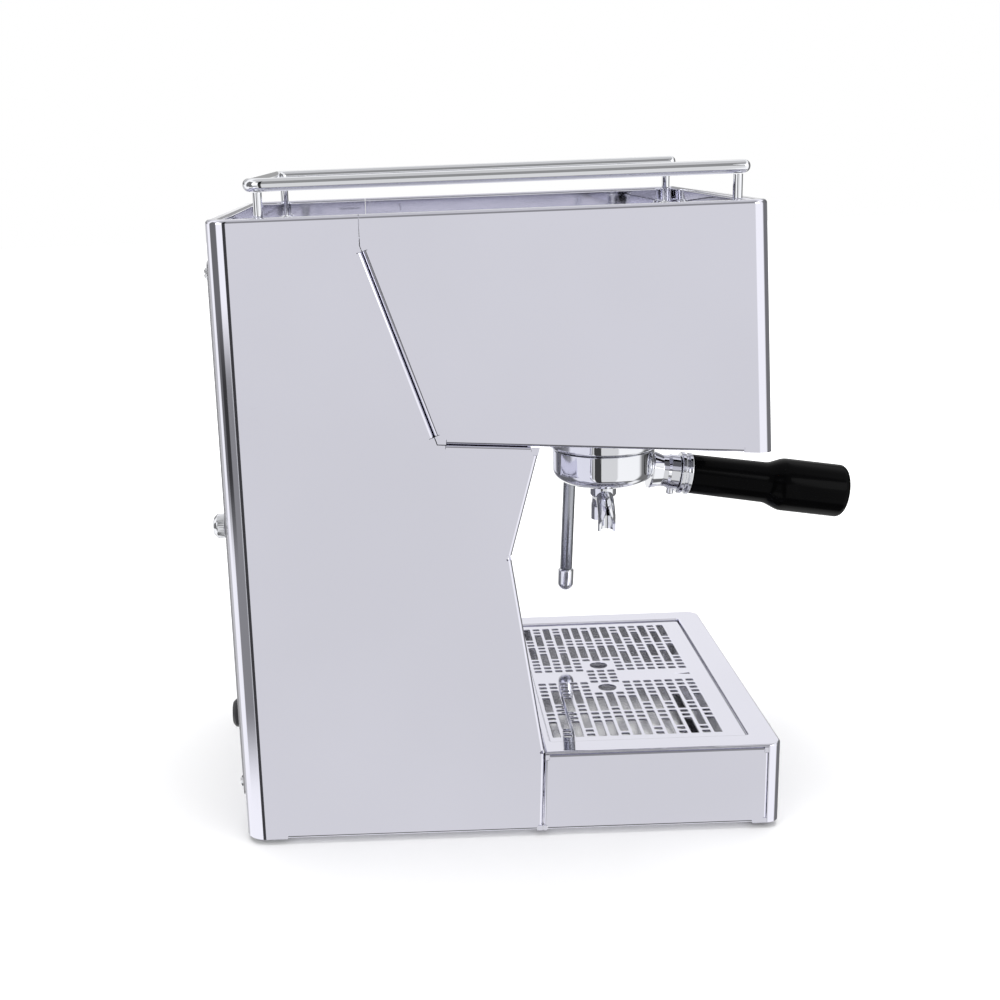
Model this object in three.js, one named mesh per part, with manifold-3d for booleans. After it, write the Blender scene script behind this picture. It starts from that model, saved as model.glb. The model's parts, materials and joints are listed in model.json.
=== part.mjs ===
import * as THREE from 'three';
import { mergeVertices, toCreasedNormals } from 'three/addons/utils/BufferGeometryUtils.js';
import Module from 'manifold-3d';

const wasm = await Module();
wasm.setup();

// Lengths are in millimetres. X runs to the user's right, the front faces -Y and Z points up.
// Places on the side of the machine are given as a distance in front of the rear wall and a height.

// Driving sizes of the whole machine
const bodyDepth = 355;
const bodyWidth = 260;
const rimHeight = 409;
const footHeight = 4;
const sheet = 1.5;
const play = 0.3;
const jointGap = 0.4;

// Side view of the housing
const seamTopDistance = 92;
const seamFoldTopDrop = 18;
const seamFootDistance = 134.6;
const seamFootHeight = 268.8;
const undersideDropDegrees = 3.7;
const headFrontDistance = 335;
const frontLeanDegrees = 2.9;
const columnTopDistance = 198;
const waistDistance = 179.3;
const waistHeight = 194;
const columnFootDistance = 199.2;
const columnFootHeight = 60.5;
const baseJointDistance = 197.4;
const baseSideFrontDistance = 345.6;

// Sheet metal folding
const edgeBend = 2.6;
const seamFlange = 10;
const edgeFlange = 12;
const rearCornerBend = 14;
const frontCornerBend = 10;
const foldNotch = 3.6;
const foldLap = 0.6;
const cornerTab = 19;
const rearFootTab = 28;
const rimBend = 2.5;
const rimWidth = 9;
const rimSkirt = 9;
const reliefRadius = 1.8;

// Cup tray and rail
const cupTrayDepth = 12.6;
const trayUnderLip = 5;
const railRadius = 4;
const railRise = 18.8;
const railSideInset = 21;
const railRearDistance = 26;
const railFrontDistance = 324.5;
const railCornerRadius = 9;
const postRadius = 2.9;
const postRearDistance = 31.5;
const postFrontDistance = 320.5;
const postFootRadius = 5;
const postFootHeight = 1.6;

// Water tank under the rear of the cup tray
const tankWidth = 150;
const tankDepth = 76;
const tankRearDistance = 38;
const tankBottomHeight = 122;
const tankWall = 2.4;
const tankCornerRadius = 12;
const tankRimWidth = 3.2;
const tankRimHeight = 5;
const tankOutletRadius = 9;
const tankOutletLength = 8;
const lidMargin = 6;
const lidSkirtDepth = 6;
const lidSkirtPlay = 1;
const lidGripRadius = 12;
const shelfFootWidth = 14;

// Rear of the housing
const rearPanelLap = 16;
const rearOpeningLow = 36;
const rearOpeningRadius = 12;
const rearPanelSideInset = 18;
const rearPanelLow = 27;
const rearPanelTopDrop = 25;
const rearPanelRadius = 5;
const ventWidth = 5;
const ventLength = 44;
const ventPitch = 12;
const ventHeight = 318;
const ventColumnOffset = 46;
const screwHeadRadius = 4;
const screwHeadHeight = 2.2;
const screwSlotWidth = 1.2;
const screwInset = 8;
const capNutHeight = 215;
const capNutRadius = 8;
const capNutLength = 8.6;
const glandHeight = 73.5;
const glandRadius = 9.6;
const glandLength = 9;
const glandBore = 4;
const glandStemRadius = 6;
const glandSideInset = 52;

// Feet
const footRadius = 11;
const footTaper = 1.5;
const footSideInset = 26;
const footFrontDistance = 322;
const footRearDistance = 34;

// Base, drip tray and grille
const frameTopHeight = 60.1;
const frameCornerRadius = 9;
const apronReturn = 8.6;
const apronFlange = 8;
const frameSideBorder = 16.4;
const openingRearDistance = 204.6;
const openingFrontDistance = 336.6;
const openingCornerRadius = 2;
const frameLipWidth = 1.5;
const frameLipDepth = 1.5;
const grilleThickness = 1.5;
const grilleFrontGap = 1.3;
const slotWidth = 5.3;
const slotPitch = 7.76;
const shortSlot = 4.2;
const grilleSideBorder = 9.4;
const slotWeb = 2.5;
const slotCentreGap = 10.5;
const lastColumnDistance = 318.9;
const columnCount = 15;
const drainOffset = 21.5;
const drainRadius = 6.5;
const drainMargin = 2.5;
const pointerLength = 10.5;
const pointerWidth = 3.2;
const panSideGap = 3.6;
const panRearDistance = 207;
const panFrontDistance = 333;
const panDepth = 34;
const panWall = 1.5;
const panTaper = 4;
const panCornerRadius = 10;
const panFlange = 6.4;

// Group head and filter holder
const groupDistance = 257;
const bellDrop = 25.9;
const bellRadius = 38.6;
const bellMouthRadius = 33.6;
const bellGrooveRadius = 36.4;
const ledgeThickness = 3.6;
const grooveRise = 23.4;
const bellFlangeRadius = 46;
const bellFlangeThickness = 6;
const bellRounding = 2.2;
const feedRadius = 5;
const bowlRadius = 36.2;
const bowlLipGap = 0.8;
const bowlSideHeight = 15.2;
const bowlDepth = 26.6;
const bowlRimRadius = 33.1;
const bowlRimRise = 14.8;
const bowlBoreRadius = 30.4;
const bowlFloorRise = 12.4;
const bowlOutletRadius = 5;
const lugRadius = 36;
const lugHeight = 5;
const lugDegrees = 40;
const lugPlay = 0.5;
const ledgeSlotDegrees = 48;
const unlockDegrees = 50;
const basketRadius = 29.8;
const basketFloorRadius = 26.5;
const basketWall = 0.9;
const basketDepth = 24;
const basketRimRadius = 32.6;
const gasketInnerRadius = 28.9;
const gasketOuterRadius = 36;
const screenRadius = 27.8;
const screenThickness = 1.2;
const screenDish = 3.2;
const screenHoleRadius = 1.3;
const screenHoleRings = [11, 20];
const screenScrewRadius = 4.4;
const screenScrewHeight = 2.6;
const screenScrewBore = 2.6;
const screenHoleCount = 4;
const basketKnee = 6;
const bowlFloorFall = 3;
const bowlShares = [[0.5, 0.06], [0.76, 0.22], [0.92, 0.52], [1, 1]];

// Handle of the filter holder, sloping down towards the front
const handleSlopeDegrees = 8.9;
const handleAnchorDistance = 318.5;
const handleAnchorRise = 4.3;
const neckRadius = 12.4;
const neckRootRadius = 13.6;
const collarRadius = 15;
const collarLength = 8.4;
const collarGroove = 1.1;
const gripNeckRadius = 14.1;
const gripWaistRadius = 14.6;
const gripRadius = 18.9;
const gripStraight = 55;
const gripFlare = 12;
const gripLength = 112;
const gripEndRounding = 4.5;
const gripFlareShares = [[0.16, 0.25], [0.5, 0.5], [0.84, 0.75]];
const neckInset = 1.5;
const neckFlare = 6;
const neckPinRadius = 2.6;
const neckPinLength = 16.4;
const neckPinOffset = 11.6;

// Double spout under the bowl
const spoutOffset = 16;
const spoutRadius = 6.4;
const spoutBore = 4.4;
const spoutLength = 31;
const spoutCrownDrop = 13.6;
const spoutHubRadius = 9.4;
const spoutHubHeight = 9;
const spoutRise = 5;

// Steam wand on the user's right
const wandSideInset = 35;
const wandPivotDistance = 247.7;
const wandPivotDrop = 11;
const wandLeanDegrees = 2.4;
const wandRadius = 4.8;
const wandBore = 2.2;
const wandBallRadius = 8;
const wandNutRadius = 12;
const wandSocketLift = 2.5;
const wandNutRise = 9.5;
const wandStemRise = 25.5;
const wandStemRadius = 6;
const wandTubeRise = 53.4;
const nozzleRadius = 6.2;
const nozzleLength = 18;
const nozzleSpigot = 6;
const nozzleSpigotRadius = 1.8;

// Controls on the front of the head, placed across and up from the middle of its face
const gaugeUp = 14;
const gaugeBezelRadius = 29;
const gaugeBezelDepth = 7;
const gaugeHoleRadius = 25;
const gaugeCaseDepth = 22;
const gaugeFaceRadius = 24;
const gaugeRecess = 5.6;
const gaugeGlassSink = 0.8;
const needleRestDegrees = 135;
const gaugeGlassThickness = 1.2;
const needleLength = 17;
const needleTail = 6;
const needleWidth = 2.2;
const needleThickness = 0.8;
const needleHubRadius = 2.8;
const switchShares = [-0.754, -0.554, -0.354];
const switchUp = -20;
const switchWidth = 17;
const switchHeight = 27;
const bezelBorder = 2.2;
const bezelProud = 1.4;
const switchDepth = 20;
const rockerProud = 3.2;
const rockerTiltDegrees = 7;
const rockerPivotDepth = 5;
const rockerPlay = 0.5;
const rockerWall = 1.6;
const rockerSway = 1.3;
const rockerHeel = 3;
const rockerDip = 1.5;
const lampUp = 14;
const lampRadius = 6;
const lampProud = 3;
const lampDepth = 16;
const lampRimRadius = 7.4;
const knobSideInset = 46;
const knobUp = -8;
const knobRadius = 21;
const knobLength = 30;
const knobStandOff = 4;
const knobFluteRadius = 5.2;
const knobFluteCount = 6;
const knobRounding = 3;
const shaftRadius = 4;
const shaftSleeveRadius = 9;

// Works inside the housing
const boilerRadius = 46;
const boilerTopDrop = 37;
const boilerBelt = 3;
const boilerDome = 12;
const valveRadius = 12;
const valveLength = 30;
const pumpDistance = 132;
const pumpOffset = 6;
const pumpBlockWidth = 46;
const pumpBlockHeight = 44;
const pumpBodyRadius = 14;
const pumpLength = 112;
const pumpSpigotRadius = 4;
const pumpSpigotLength = 14;
const hoseRadius = 4.5;
const pipeSwing = 16;

// Fineness of curved shapes
const foldSteps = 3;
const cornerSteps = 3;
const largeRoundSteps = 28;
const roundSteps = 20;
const smallRoundSteps = 12;
const tipDegrees = [90, 60, 30];
const ballSteps = 16;
const tinyRoundSteps = 8;
const screenHoleSides = 5;
const hexagonSides = 6;
const tubeSteps = 7;
const weldDistance = 0.0005;
const simplifyDistance = 0.01;
const cutMargin = 2;
const smoothDegrees = 32;

const halfWidth = bodyWidth / 2;
const rearWall = bodyDepth / 2;
const radians = (degrees) => THREE.MathUtils.degToRad(degrees);
const frontOf = (distance) => rearWall - distance;
const undersideSlope = Math.tan(radians(undersideDropDegrees));
const frontLean = Math.tan(radians(frontLeanDegrees));
const undersideHeight = (distance) => seamFootHeight - (distance - seamFootDistance) * undersideSlope;
const frontFaceDistance = (height) => headFrontDistance + (rimHeight - height) * frontLean;
const side = (distance, height) => [frontOf(distance), height];

// Places across the machine follow its width
const railHalfSpan = halfWidth - railSideInset;
const footOffset = halfWidth - footSideInset;
const rearPanelHalfWidth = halfWidth - rearPanelSideInset;
const rearOpeningHalfWidth = rearPanelHalfWidth - rearPanelLap;
const rearFittingOffset = halfWidth - glandSideInset;
const openingHalfWidth = halfWidth - frameSideBorder;
const panHalfWidth = openingHalfWidth - panSideGap;
const wandOffset = halfWidth - wandSideInset;
const knobAcross = halfWidth - knobSideInset;
const switchAcross = switchShares.map((share) => share * halfWidth);

// Heights that hang from the top rim
const seamFoldTopHeight = rimHeight - seamFoldTopDrop;
const rearPanelHigh = rimHeight - rearPanelTopDrop;
const rearOpeningHigh = rearPanelHigh - rearPanelLap;
const boilerHigh = rimHeight - boilerTopDrop;
const railHeight = rimHeight + railRise;

// Heights that hang from the underside of the head
const bellLipHeight = undersideHeight(groupDistance) - bellDrop;
const grooveHeight = bellLipHeight + grooveRise;
const bowlTopHeight = bellLipHeight - bowlLipGap;
const bowlKneeHeight = bowlTopHeight - bowlSideHeight;
const bowlBottomHeight = bowlTopHeight - bowlDepth;
const bowlRimHeight = bowlTopHeight + bowlRimRise;
const bowlFloorHeight = bowlBottomHeight + bowlFloorRise;
const handleAnchorHeight = bowlBottomHeight + handleAnchorRise;
const spoutTipHeight = bowlBottomHeight - spoutLength;
const spoutCrownHeight = bowlBottomHeight - spoutCrownDrop;
const wandPivotHeight = undersideHeight(wandPivotDistance) - wandPivotDrop;
const wandNutTop = wandPivotHeight + wandNutRise;
const wandStemTop = wandPivotHeight + wandStemRise;
const wandTubeEnd = wandPivotHeight - frameTopHeight - wandTubeRise;

// Closed body from any closed triangle geometry
const solid = (geometry) => {
  const bare = new THREE.BufferGeometry();
  bare.setAttribute('position', geometry.getAttribute('position').clone());
  if (geometry.index) {
    bare.setIndex(geometry.index.clone());
  }
  const merged = mergeVertices(bare, weldDistance);
  const place = merged.getAttribute('position');
  const corners = merged.index.array;
  const kept = [];
  let volume = 0;
  const a = new THREE.Vector3();
  const b = new THREE.Vector3();
  const c = new THREE.Vector3();
  for (let i = 0; i < corners.length; i += 3) {
    const [p, q, r] = [corners[i], corners[i + 1], corners[i + 2]];
    if (p === q || q === r || r === p) {
      continue;
    }
    a.fromBufferAttribute(place, p);
    b.fromBufferAttribute(place, q);
    c.fromBufferAttribute(place, r);
    volume += a.dot(b.clone().cross(c));
    kept.push(p, q, r);
  }
  if (volume < 0) {
    kept.reverse();
  }
  return new wasm.Manifold(new wasm.Mesh({
    numProp: 3,
    vertProperties: Float32Array.from(place.array),
    triVerts: Uint32Array.from(kept),
  }));
};

const moved = (body, x, y, z) => body.translate([x, y, z]);
const mirrored = (body) => body.mirror([1, 0, 0]);
const placedBy = (body, matrix) => body.transform(matrix.elements);
const joined = (bodies) => wasm.Manifold.union(bodies);
const withoutAll = (body, cuts) => body.subtract(joined(cuts));

const basis = (first, second, third, x = 0, y = 0, z = 0) => new THREE.Matrix4()
  .makeBasis(new THREE.Vector3(...first), new THREE.Vector3(...second), new THREE.Vector3(...third))
  .setPosition(x, y, z);

const shapeOf = (points) => new THREE.Shape(points.map(([across, up]) => new THREE.Vector2(across, up)));

// Straight block over an outline; holes are outlines cut right through it
const extruded = (points, length, matrix, holes = []) => {
  const options = { depth: length, bevelEnabled: false, steps: 1 };
  const geometry = new THREE.ExtrudeGeometry(shapeOf(points), options);
  const block = solid(geometry.applyMatrix4(matrix));
  if (holes.length === 0) {
    return block;
  }
  const below = matrix.clone().multiply(new THREE.Matrix4().makeTranslation(0, 0, -cutMargin));
  return withoutAll(block, holes.map((hole) => extruded(hole, length + 2 * cutMargin, below)));
};

// Plan outline in X and Y, pulled upwards
const raised = (points, low, high, holes) => (
  extruded(points, high - low, basis([1, 0, 0], [0, 1, 0], [0, 0, 1], 0, 0, low), holes)
);

// Side outline in Y and Z, pulled across the machine
const spanning = (points, left, right) => (
  extruded(points, right - left, basis([0, 1, 0], [0, 0, 1], [1, 0, 0], left))
);

// Front outline in X and Z, pulled from the rear towards the front
const forward = (points, rear, front, holes) => (
  extruded(points, rear - front, basis([1, 0, 0], [0, 0, 1], [0, -1, 0], 0, rear), holes)
);

const rectangle = (left, low, right, high) => [[left, low], [right, low], [right, high], [left, high]];

const arc = (x, y, radius, fromDegrees, toDegrees, steps) => {
  const points = [];
  for (let i = 0; i <= steps; i += 1) {
    const angle = radians(fromDegrees + (toDegrees - fromDegrees) * i / steps);
    points.push([x + radius * Math.cos(angle), y + radius * Math.sin(angle)]);
  }
  return points;
};

const circle = (x, y, radius, steps) => arc(x, y, radius, 0, 360, steps).slice(0, steps);

// Rectangle with one radius at its low corners and one at its high corners
const roundedRectangle = (left, low, right, high, lowRadius, highRadius = lowRadius) => [
  ...arc(left + lowRadius, low + lowRadius, lowRadius, 180, 270, cornerSteps),
  ...arc(right - lowRadius, low + lowRadius, lowRadius, 270, 360, cornerSteps),
  ...arc(right - highRadius, high - highRadius, highRadius, 0, 90, cornerSteps),
  ...arc(left + highRadius, high - highRadius, highRadius, 90, 180, cornerSteps),
];

// Profile of radius and height turned about the vertical axis
const turned = (profile, steps) => {
  const points = profile.map(([radius, height]) => new THREE.Vector2(radius, height));
  const geometry = new THREE.LatheGeometry(points, steps);
  return solid(geometry.rotateX(Math.PI / 2));
};

const rod = (radius, low, high, steps) => (
  turned([[0, low], [radius, low], [radius, high], [0, high]], steps)
);

const ring = (inner, outer, low, high, steps) => (
  turned([[inner, low], [outer, low], [outer, high], [inner, high], [inner, low]], steps)
);

const ball = (radius, steps) => turned([
  [0, -radius],
  ...arc(0, 0, radius, -90, 90, steps / 2).slice(1, -1),
  [0, radius],
], steps);

// Round bar following a smooth path
const bar = (radius, points, steps, sides) => {
  const path = new THREE.CatmullRomCurve3(points.map((point) => new THREE.Vector3(...point)));
  path.curveType = 'centripetal';
  const outline = shapeOf(circle(0, 0, radius, sides));
  return solid(new THREE.ExtrudeGeometry(outline, { steps, bevelEnabled: false, extrudePath: path }));
};

// Closed surface through equal rings of points; each ring is joined to the next and the last to the first
const closedLoops = (loops) => {
  const count = loops[0].length;
  const places = loops.flat(2);
  const corners = [];
  for (let row = 0; row < loops.length; row += 1) {
    const nextRow = (row + 1) % loops.length;
    for (let i = 0; i < count; i += 1) {
      const j = (i + 1) % count;
      const [p, q, r, s] = [row * count + i, row * count + j, nextRow * count + j, nextRow * count + i];
      corners.push(p, q, r, p, r, s);
    }
  }
  const geometry = new THREE.BufferGeometry();
  geometry.setAttribute('position', new THREE.Float32BufferAttribute(places, 3));
  geometry.setIndex(corners);
  return solid(geometry);
};

// Materials
const finish = (color, roughness, metalness) => (
  new THREE.MeshStandardMaterial({ color, roughness, metalness })
);
const polishedSteel = finish(0xcdccd6, 0.12, 1);
const brushedSteel = finish(0xb9babf, 0.35, 1);
const chrome = finish(0xd9dade, 0.06, 1);
const galvanised = finish(0x9a9da1, 0.5, 0.9);
const brass = finish(0xb08d4a, 0.3, 1);
const castIron = finish(0x44464a, 0.5, 0.8);
const blackPlastic = finish(0x151517, 0.22, 0);
const greyPlastic = finish(0x3a3b3f, 0.45, 0);
const tankPlastic = finish(0xd5dade, 0.3, 0);
const blackRubber = finish(0x1c1c1d, 0.75, 0);
const dialWhite = finish(0xf1f0ea, 0.5, 0);
const clearGlass = finish(0xe8eef0, 0.05, 0);
const lampOrange = finish(0xd8742a, 0.25, 0);
const needleRed = finish(0xa8281f, 0.4, 0);

const machine = new THREE.Group();
machine.name = 'espresso_machine';

const addPiece = (name, body, material, parent = machine) => {
  const data = body.simplify(simplifyDistance).getMesh();
  const geometry = new THREE.BufferGeometry();
  geometry.setAttribute('position', new THREE.BufferAttribute(Float32Array.from(data.vertProperties), 3));
  geometry.setIndex(new THREE.BufferAttribute(Uint32Array.from(data.triVerts), 1));
  const mesh = new THREE.Mesh(toCreasedNormals(geometry, radians(smoothDegrees)), material);
  mesh.name = name;
  parent.add(mesh);
  return mesh;
};

// A folded sheet edge is a quarter bend followed by a flat flange that points into the housing.
// The profile is drawn as distance from the edge along the panel and depth behind its face.
const foldProfile = (bend, depth) => [
  ...arc(bend, bend, bend, 270, 180, foldSteps),
  [0, depth],
  [sheet, depth],
  ...arc(bend, bend, bend - sheet, 180, 270, foldSteps),
  [bend + foldLap, sheet],
  [bend + foldLap, 0],
];

// One panel of the left side. Each fold names the two ends of its edge, its bend, its flange depth
// and the lengths left unfolded at both ends, where a narrow notch frees the sheet.
const foldedPanel = (outline, folds) => {
  let panel = spanning(outline, -halfWidth, -halfWidth + sheet);
  const flanges = [];
  for (const { from, to, bend, depth, startTab = foldNotch, endTab = foldNotch } of folds) {
    const span = new THREE.Vector2(to[0] - from[0], to[1] - from[1]);
    const length = span.length();
    const way = span.divideScalar(length);
    const matrix = basis([0, -way.y, way.x], [1, 0, 0], [0, way.x, way.y], -halfWidth, from[0], from[1]);
    const push = (start) => matrix.clone().multiply(new THREE.Matrix4().makeTranslation(0, 0, start));
    const strip = rectangle(-cutMargin, -cutMargin, bend + foldLap / 2, sheet + cutMargin);
    const stripLength = length - startTab - endTab + 2 * foldNotch;
    panel = panel.subtract(extruded(strip, stripLength, push(startTab - foldNotch)));
    flanges.push(extruded(foldProfile(bend, depth), length - startTab - endTab, push(startTab)));
  }
  return joined([panel, ...flanges]);
};

const bothSides = (body) => body.add(mirrored(body));

// Rolled top rim: the wall turns over, runs inwards and drops again to the cup tray
const cupTrayHeight = rimHeight - cupTrayDepth;
const lipFoot = cupTrayHeight + play;
const rimProfile = [
  [0, rimHeight - rimSkirt],
  ...arc(rimBend, rimHeight - rimBend, rimBend, 180, 90, foldSteps),
  [rimWidth, rimHeight],
  [rimWidth, lipFoot],
  [rimWidth - sheet, lipFoot],
  [rimWidth - sheet, rimHeight - sheet],
  ...arc(rimBend, rimHeight - rimBend, rimBend - sheet, 90, 180, foldSteps),
  [sheet, rimHeight - rimSkirt],
];
const bodyOutline = (inset) => roundedRectangle(
  -halfWidth + inset,
  frontOf(headFrontDistance) + inset,
  halfWidth - inset,
  rearWall - inset,
  Math.max(frontCornerBend - inset, sheet / 2),
  Math.max(rearCornerBend - inset, sheet / 2),
);
const rim = closedLoops(rimProfile.map(([inset, height]) => (
  bodyOutline(inset).map(([x, y]) => [x, y < 0 ? y - (rimHeight - height) * frontLean : y, height])
)));
const rearOfSeam = (shift) => spanning(
  rectangle(
    frontOf(seamTopDistance + shift),
    rimHeight / 2,
    rearWall + cutMargin,
    rimHeight + cutMargin,
  ),
  -bodyWidth,
  bodyWidth,
);

// Rear column: side walls, floor and rear wall, with a service opening at the rear
const wallTop = rimHeight - rimSkirt;
const seamTop = side(seamTopDistance, wallTop);
const seamFoldTop = side(seamTopDistance, seamFoldTopHeight);
const seamFoot = side(seamFootDistance, seamFootHeight - jointGap);
const columnTop = side(columnTopDistance, undersideHeight(columnTopDistance) - jointGap);
const waist = side(waistDistance, waistHeight);
const columnFoot = side(columnFootDistance, columnFootHeight);
const columnToe = side(baseJointDistance, footHeight);
const rearToe = side(0, footHeight);
const rearTop = side(0, wallTop);
const columnOutline = [
  rearToe,
  rearTop,
  seamTop,
  seamFoldTop,
  seamFoot,
  columnTop,
  waist,
  columnFoot,
  columnToe,
];
const columnFolds = [
  { from: rearToe, to: rearTop, bend: rearCornerBend, depth: halfWidth + foldLap, startTab: 0, endTab: 0 },
  { from: seamFoldTop, to: seamFoot, bend: edgeBend, depth: seamFlange },
  { from: seamFoot, to: columnTop, bend: edgeBend, depth: seamFlange },
  { from: columnTop, to: waist, bend: edgeBend, depth: edgeFlange },
  { from: waist, to: columnFoot, bend: edgeBend, depth: edgeFlange },
  { from: columnFoot, to: columnToe, bend: edgeBend, depth: edgeFlange },
  { from: columnToe, to: rearToe, bend: edgeBend, depth: edgeFlange, endTab: rearFootTab },
];
const relief = (point) => spanning(
  circle(point[0], point[1], reliefRadius, tinyRoundSteps),
  -halfWidth - cutMargin,
  -halfWidth + sheet + cutMargin,
);
const columnSide = withoutAll(foldedPanel(columnOutline, columnFolds), [relief(seamFoot), relief(waist)]);
const rearOpening = forward(
  roundedRectangle(
    -rearOpeningHalfWidth,
    rearOpeningLow,
    rearOpeningHalfWidth,
    rearOpeningHigh,
    rearOpeningRadius,
  ),
  rearWall + cutMargin,
  rearWall - sheet - cutMargin,
);
const belowRim = raised(rectangle(-bodyWidth, -bodyDepth, bodyWidth, bodyDepth), 0, wallTop);
const columnWalls = bothSides(columnSide).subtract(rearOpening).intersect(belowRim);
const columnShell = columnWalls.add(rim.intersect(rearOfSeam(0)));
addPiece('column_shell', columnShell, polishedSteel);

// Head: side walls and front wall in one wrap, divided from the column along the slanting seam
const headSeamTop = side(seamTopDistance + jointGap, wallTop);
const headFoldTop = side(seamTopDistance + jointGap, seamFoldTopHeight);
const headSeamFoot = side(seamFootDistance + jointGap, undersideHeight(seamFootDistance));
const frontTop = side(frontFaceDistance(wallTop), wallTop);
const headFootDistance = (
  (headFrontDistance + (rimHeight - seamFootHeight - seamFootDistance * undersideSlope) * frontLean)
  / (1 - undersideSlope * frontLean)
);
const frontToe = side(headFootDistance, undersideHeight(headFootDistance));
const headOutline = [headSeamTop, frontTop, frontToe, headSeamFoot, headFoldTop];
const headFolds = [
  {
    from: frontTop,
    to: frontToe,
    bend: frontCornerBend,
    depth: halfWidth + foldLap,
    startTab: -edgeBend,
    endTab: 0,
  },
  { from: frontToe, to: headSeamFoot, bend: edgeBend, depth: edgeFlange, startTab: cornerTab },
  { from: headSeamFoot, to: headFoldTop, bend: edgeBend, depth: seamFlange },
];

// The front face has its own frame: across, up along the leaning face, and outwards
const faceMiddleHeight = (rimHeight + frontToe[1]) / 2;
const faceMiddle = side(frontFaceDistance(faceMiddleHeight), faceMiddleHeight);
const faceFrame = basis(
  [1, 0, 0],
  [0, Math.sin(radians(frontLeanDegrees)), Math.cos(radians(frontLeanDegrees))],
  [0, -Math.cos(radians(frontLeanDegrees)), Math.sin(radians(frontLeanDegrees))],
  0,
  faceMiddle[0],
  faceMiddle[1],
);
const throughFace = (points) => placedBy(raised(points, -sheet - cutMargin, cutMargin), faceFrame);
const switchHole = (across) => rectangle(
  across - switchWidth / 2,
  switchUp - switchHeight / 2,
  across + switchWidth / 2,
  switchUp + switchHeight / 2,
);
const faceCuts = [
  throughFace(circle(0, gaugeUp, gaugeHoleRadius, largeRoundSteps)),
  throughFace(circle(switchAcross[0], lampUp, lampRadius, smallRoundSteps)),
  throughFace(circle(knobAcross, knobUp, shaftSleeveRadius, smallRoundSteps)),
  ...switchAcross.map((across) => throughFace(switchHole(across))),
];
const headWalls = bothSides(foldedPanel(headOutline, headFolds)).intersect(belowRim);
const headRim = rim.subtract(rearOfSeam(jointGap));
addPiece('head_shell', withoutAll(headWalls, faceCuts).add(headRim), polishedSteel);

// Underside of the head, lying on the flanges of the side walls
const undersideLift = sheet + play;
const undersideRearDistance = columnTopDistance - seamFlange;
const innerHalfWidth = halfWidth - sheet - play;
const undersideFrontDistance = headFootDistance - sheet - 2 * play;
const undersideStrip = [
  side(undersideRearDistance, undersideHeight(undersideRearDistance) + undersideLift),
  side(undersideFrontDistance, undersideHeight(undersideFrontDistance) + undersideLift),
  side(undersideFrontDistance, undersideHeight(undersideFrontDistance) + undersideLift + sheet),
  side(undersideRearDistance, undersideHeight(undersideRearDistance) + undersideLift + sheet),
];
const headSpan = innerHalfWidth - frontCornerBend;
const groupY = frontOf(groupDistance);
const wandY = frontOf(wandPivotDistance);
const undersidePlate = withoutAll(spanning(undersideStrip, -headSpan, headSpan), [
  moved(rod(bellRadius + play, bowlTopHeight, rimHeight, largeRoundSteps), 0, groupY, 0),
  moved(rod(wandStemRadius + play, bowlTopHeight, rimHeight, smallRoundSteps), wandOffset, wandY, 0),
]);
addPiece('head_underside', undersidePlate, polishedSteel);

// Bent splash panel closing the front of the column, behind the side flanges
const splashInset = sheet + 2 * play;
const splashTop = undersideHeight(columnTopDistance) - seamFlange;
const overWaist = (splashTop - waistHeight) / (undersideHeight(columnTopDistance) - waistHeight);
const splashTopDistance = waistDistance + (columnTopDistance - waistDistance) * overWaist;
const splashLine = [
  [splashTopDistance - splashInset, splashTop],
  [waistDistance - splashInset, waistHeight],
  [columnFootDistance - splashInset, columnFootHeight],
  [baseJointDistance - splashInset, footHeight + edgeFlange],
];
const splashBack = splashLine.map(([distance, height]) => [distance - sheet, height]).reverse();
const splashOutline = [...splashLine, ...splashBack].map(([distance, height]) => side(distance, height));
const splashCrown = undersideHeight(undersideRearDistance) + undersideLift - 2 * play;
const splashCrownHalfWidth = halfWidth - edgeFlange - play;
const splashTab = forward(
  rectangle(-splashCrownHalfWidth, splashTop - seamFlange, splashCrownHalfWidth, splashCrown),
  frontOf(splashTopDistance - splashInset - sheet),
  frontOf(splashTopDistance - splashInset),
);
const splash = spanning(splashOutline, -innerHalfWidth, innerHalfWidth).add(splashTab);
addPiece('splash_panel', splash, polishedSteel);

// Base under the cup area: side walls and floor in one channel, open to the front for the drip tray
const baseTopHeight = frameTopHeight - sheet - play;
const baseRearToe = side(baseJointDistance + jointGap, footHeight);
const baseRearTop = side(columnFootDistance + jointGap, baseTopHeight);
const baseFrontTop = side(baseSideFrontDistance, baseTopHeight);
const baseFrontToe = side(baseSideFrontDistance, footHeight);
const baseOutline = [baseRearToe, baseRearTop, baseFrontTop, baseFrontToe];
const baseFolds = [
  { from: baseRearToe, to: baseRearTop, bend: edgeBend, depth: edgeFlange },
  { from: baseRearTop, to: baseFrontTop, bend: edgeBend, depth: edgeFlange },
  { from: baseFrontTop, to: baseFrontToe, bend: edgeBend, depth: seamFlange },
  {
    from: baseFrontToe,
    to: baseRearToe,
    bend: edgeBend,
    depth: halfWidth + foldLap,
    startTab: apronReturn,
  },
];
addPiece('base_shell', bothSides(foldedPanel(baseOutline, baseFolds)), polishedSteel);

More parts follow.
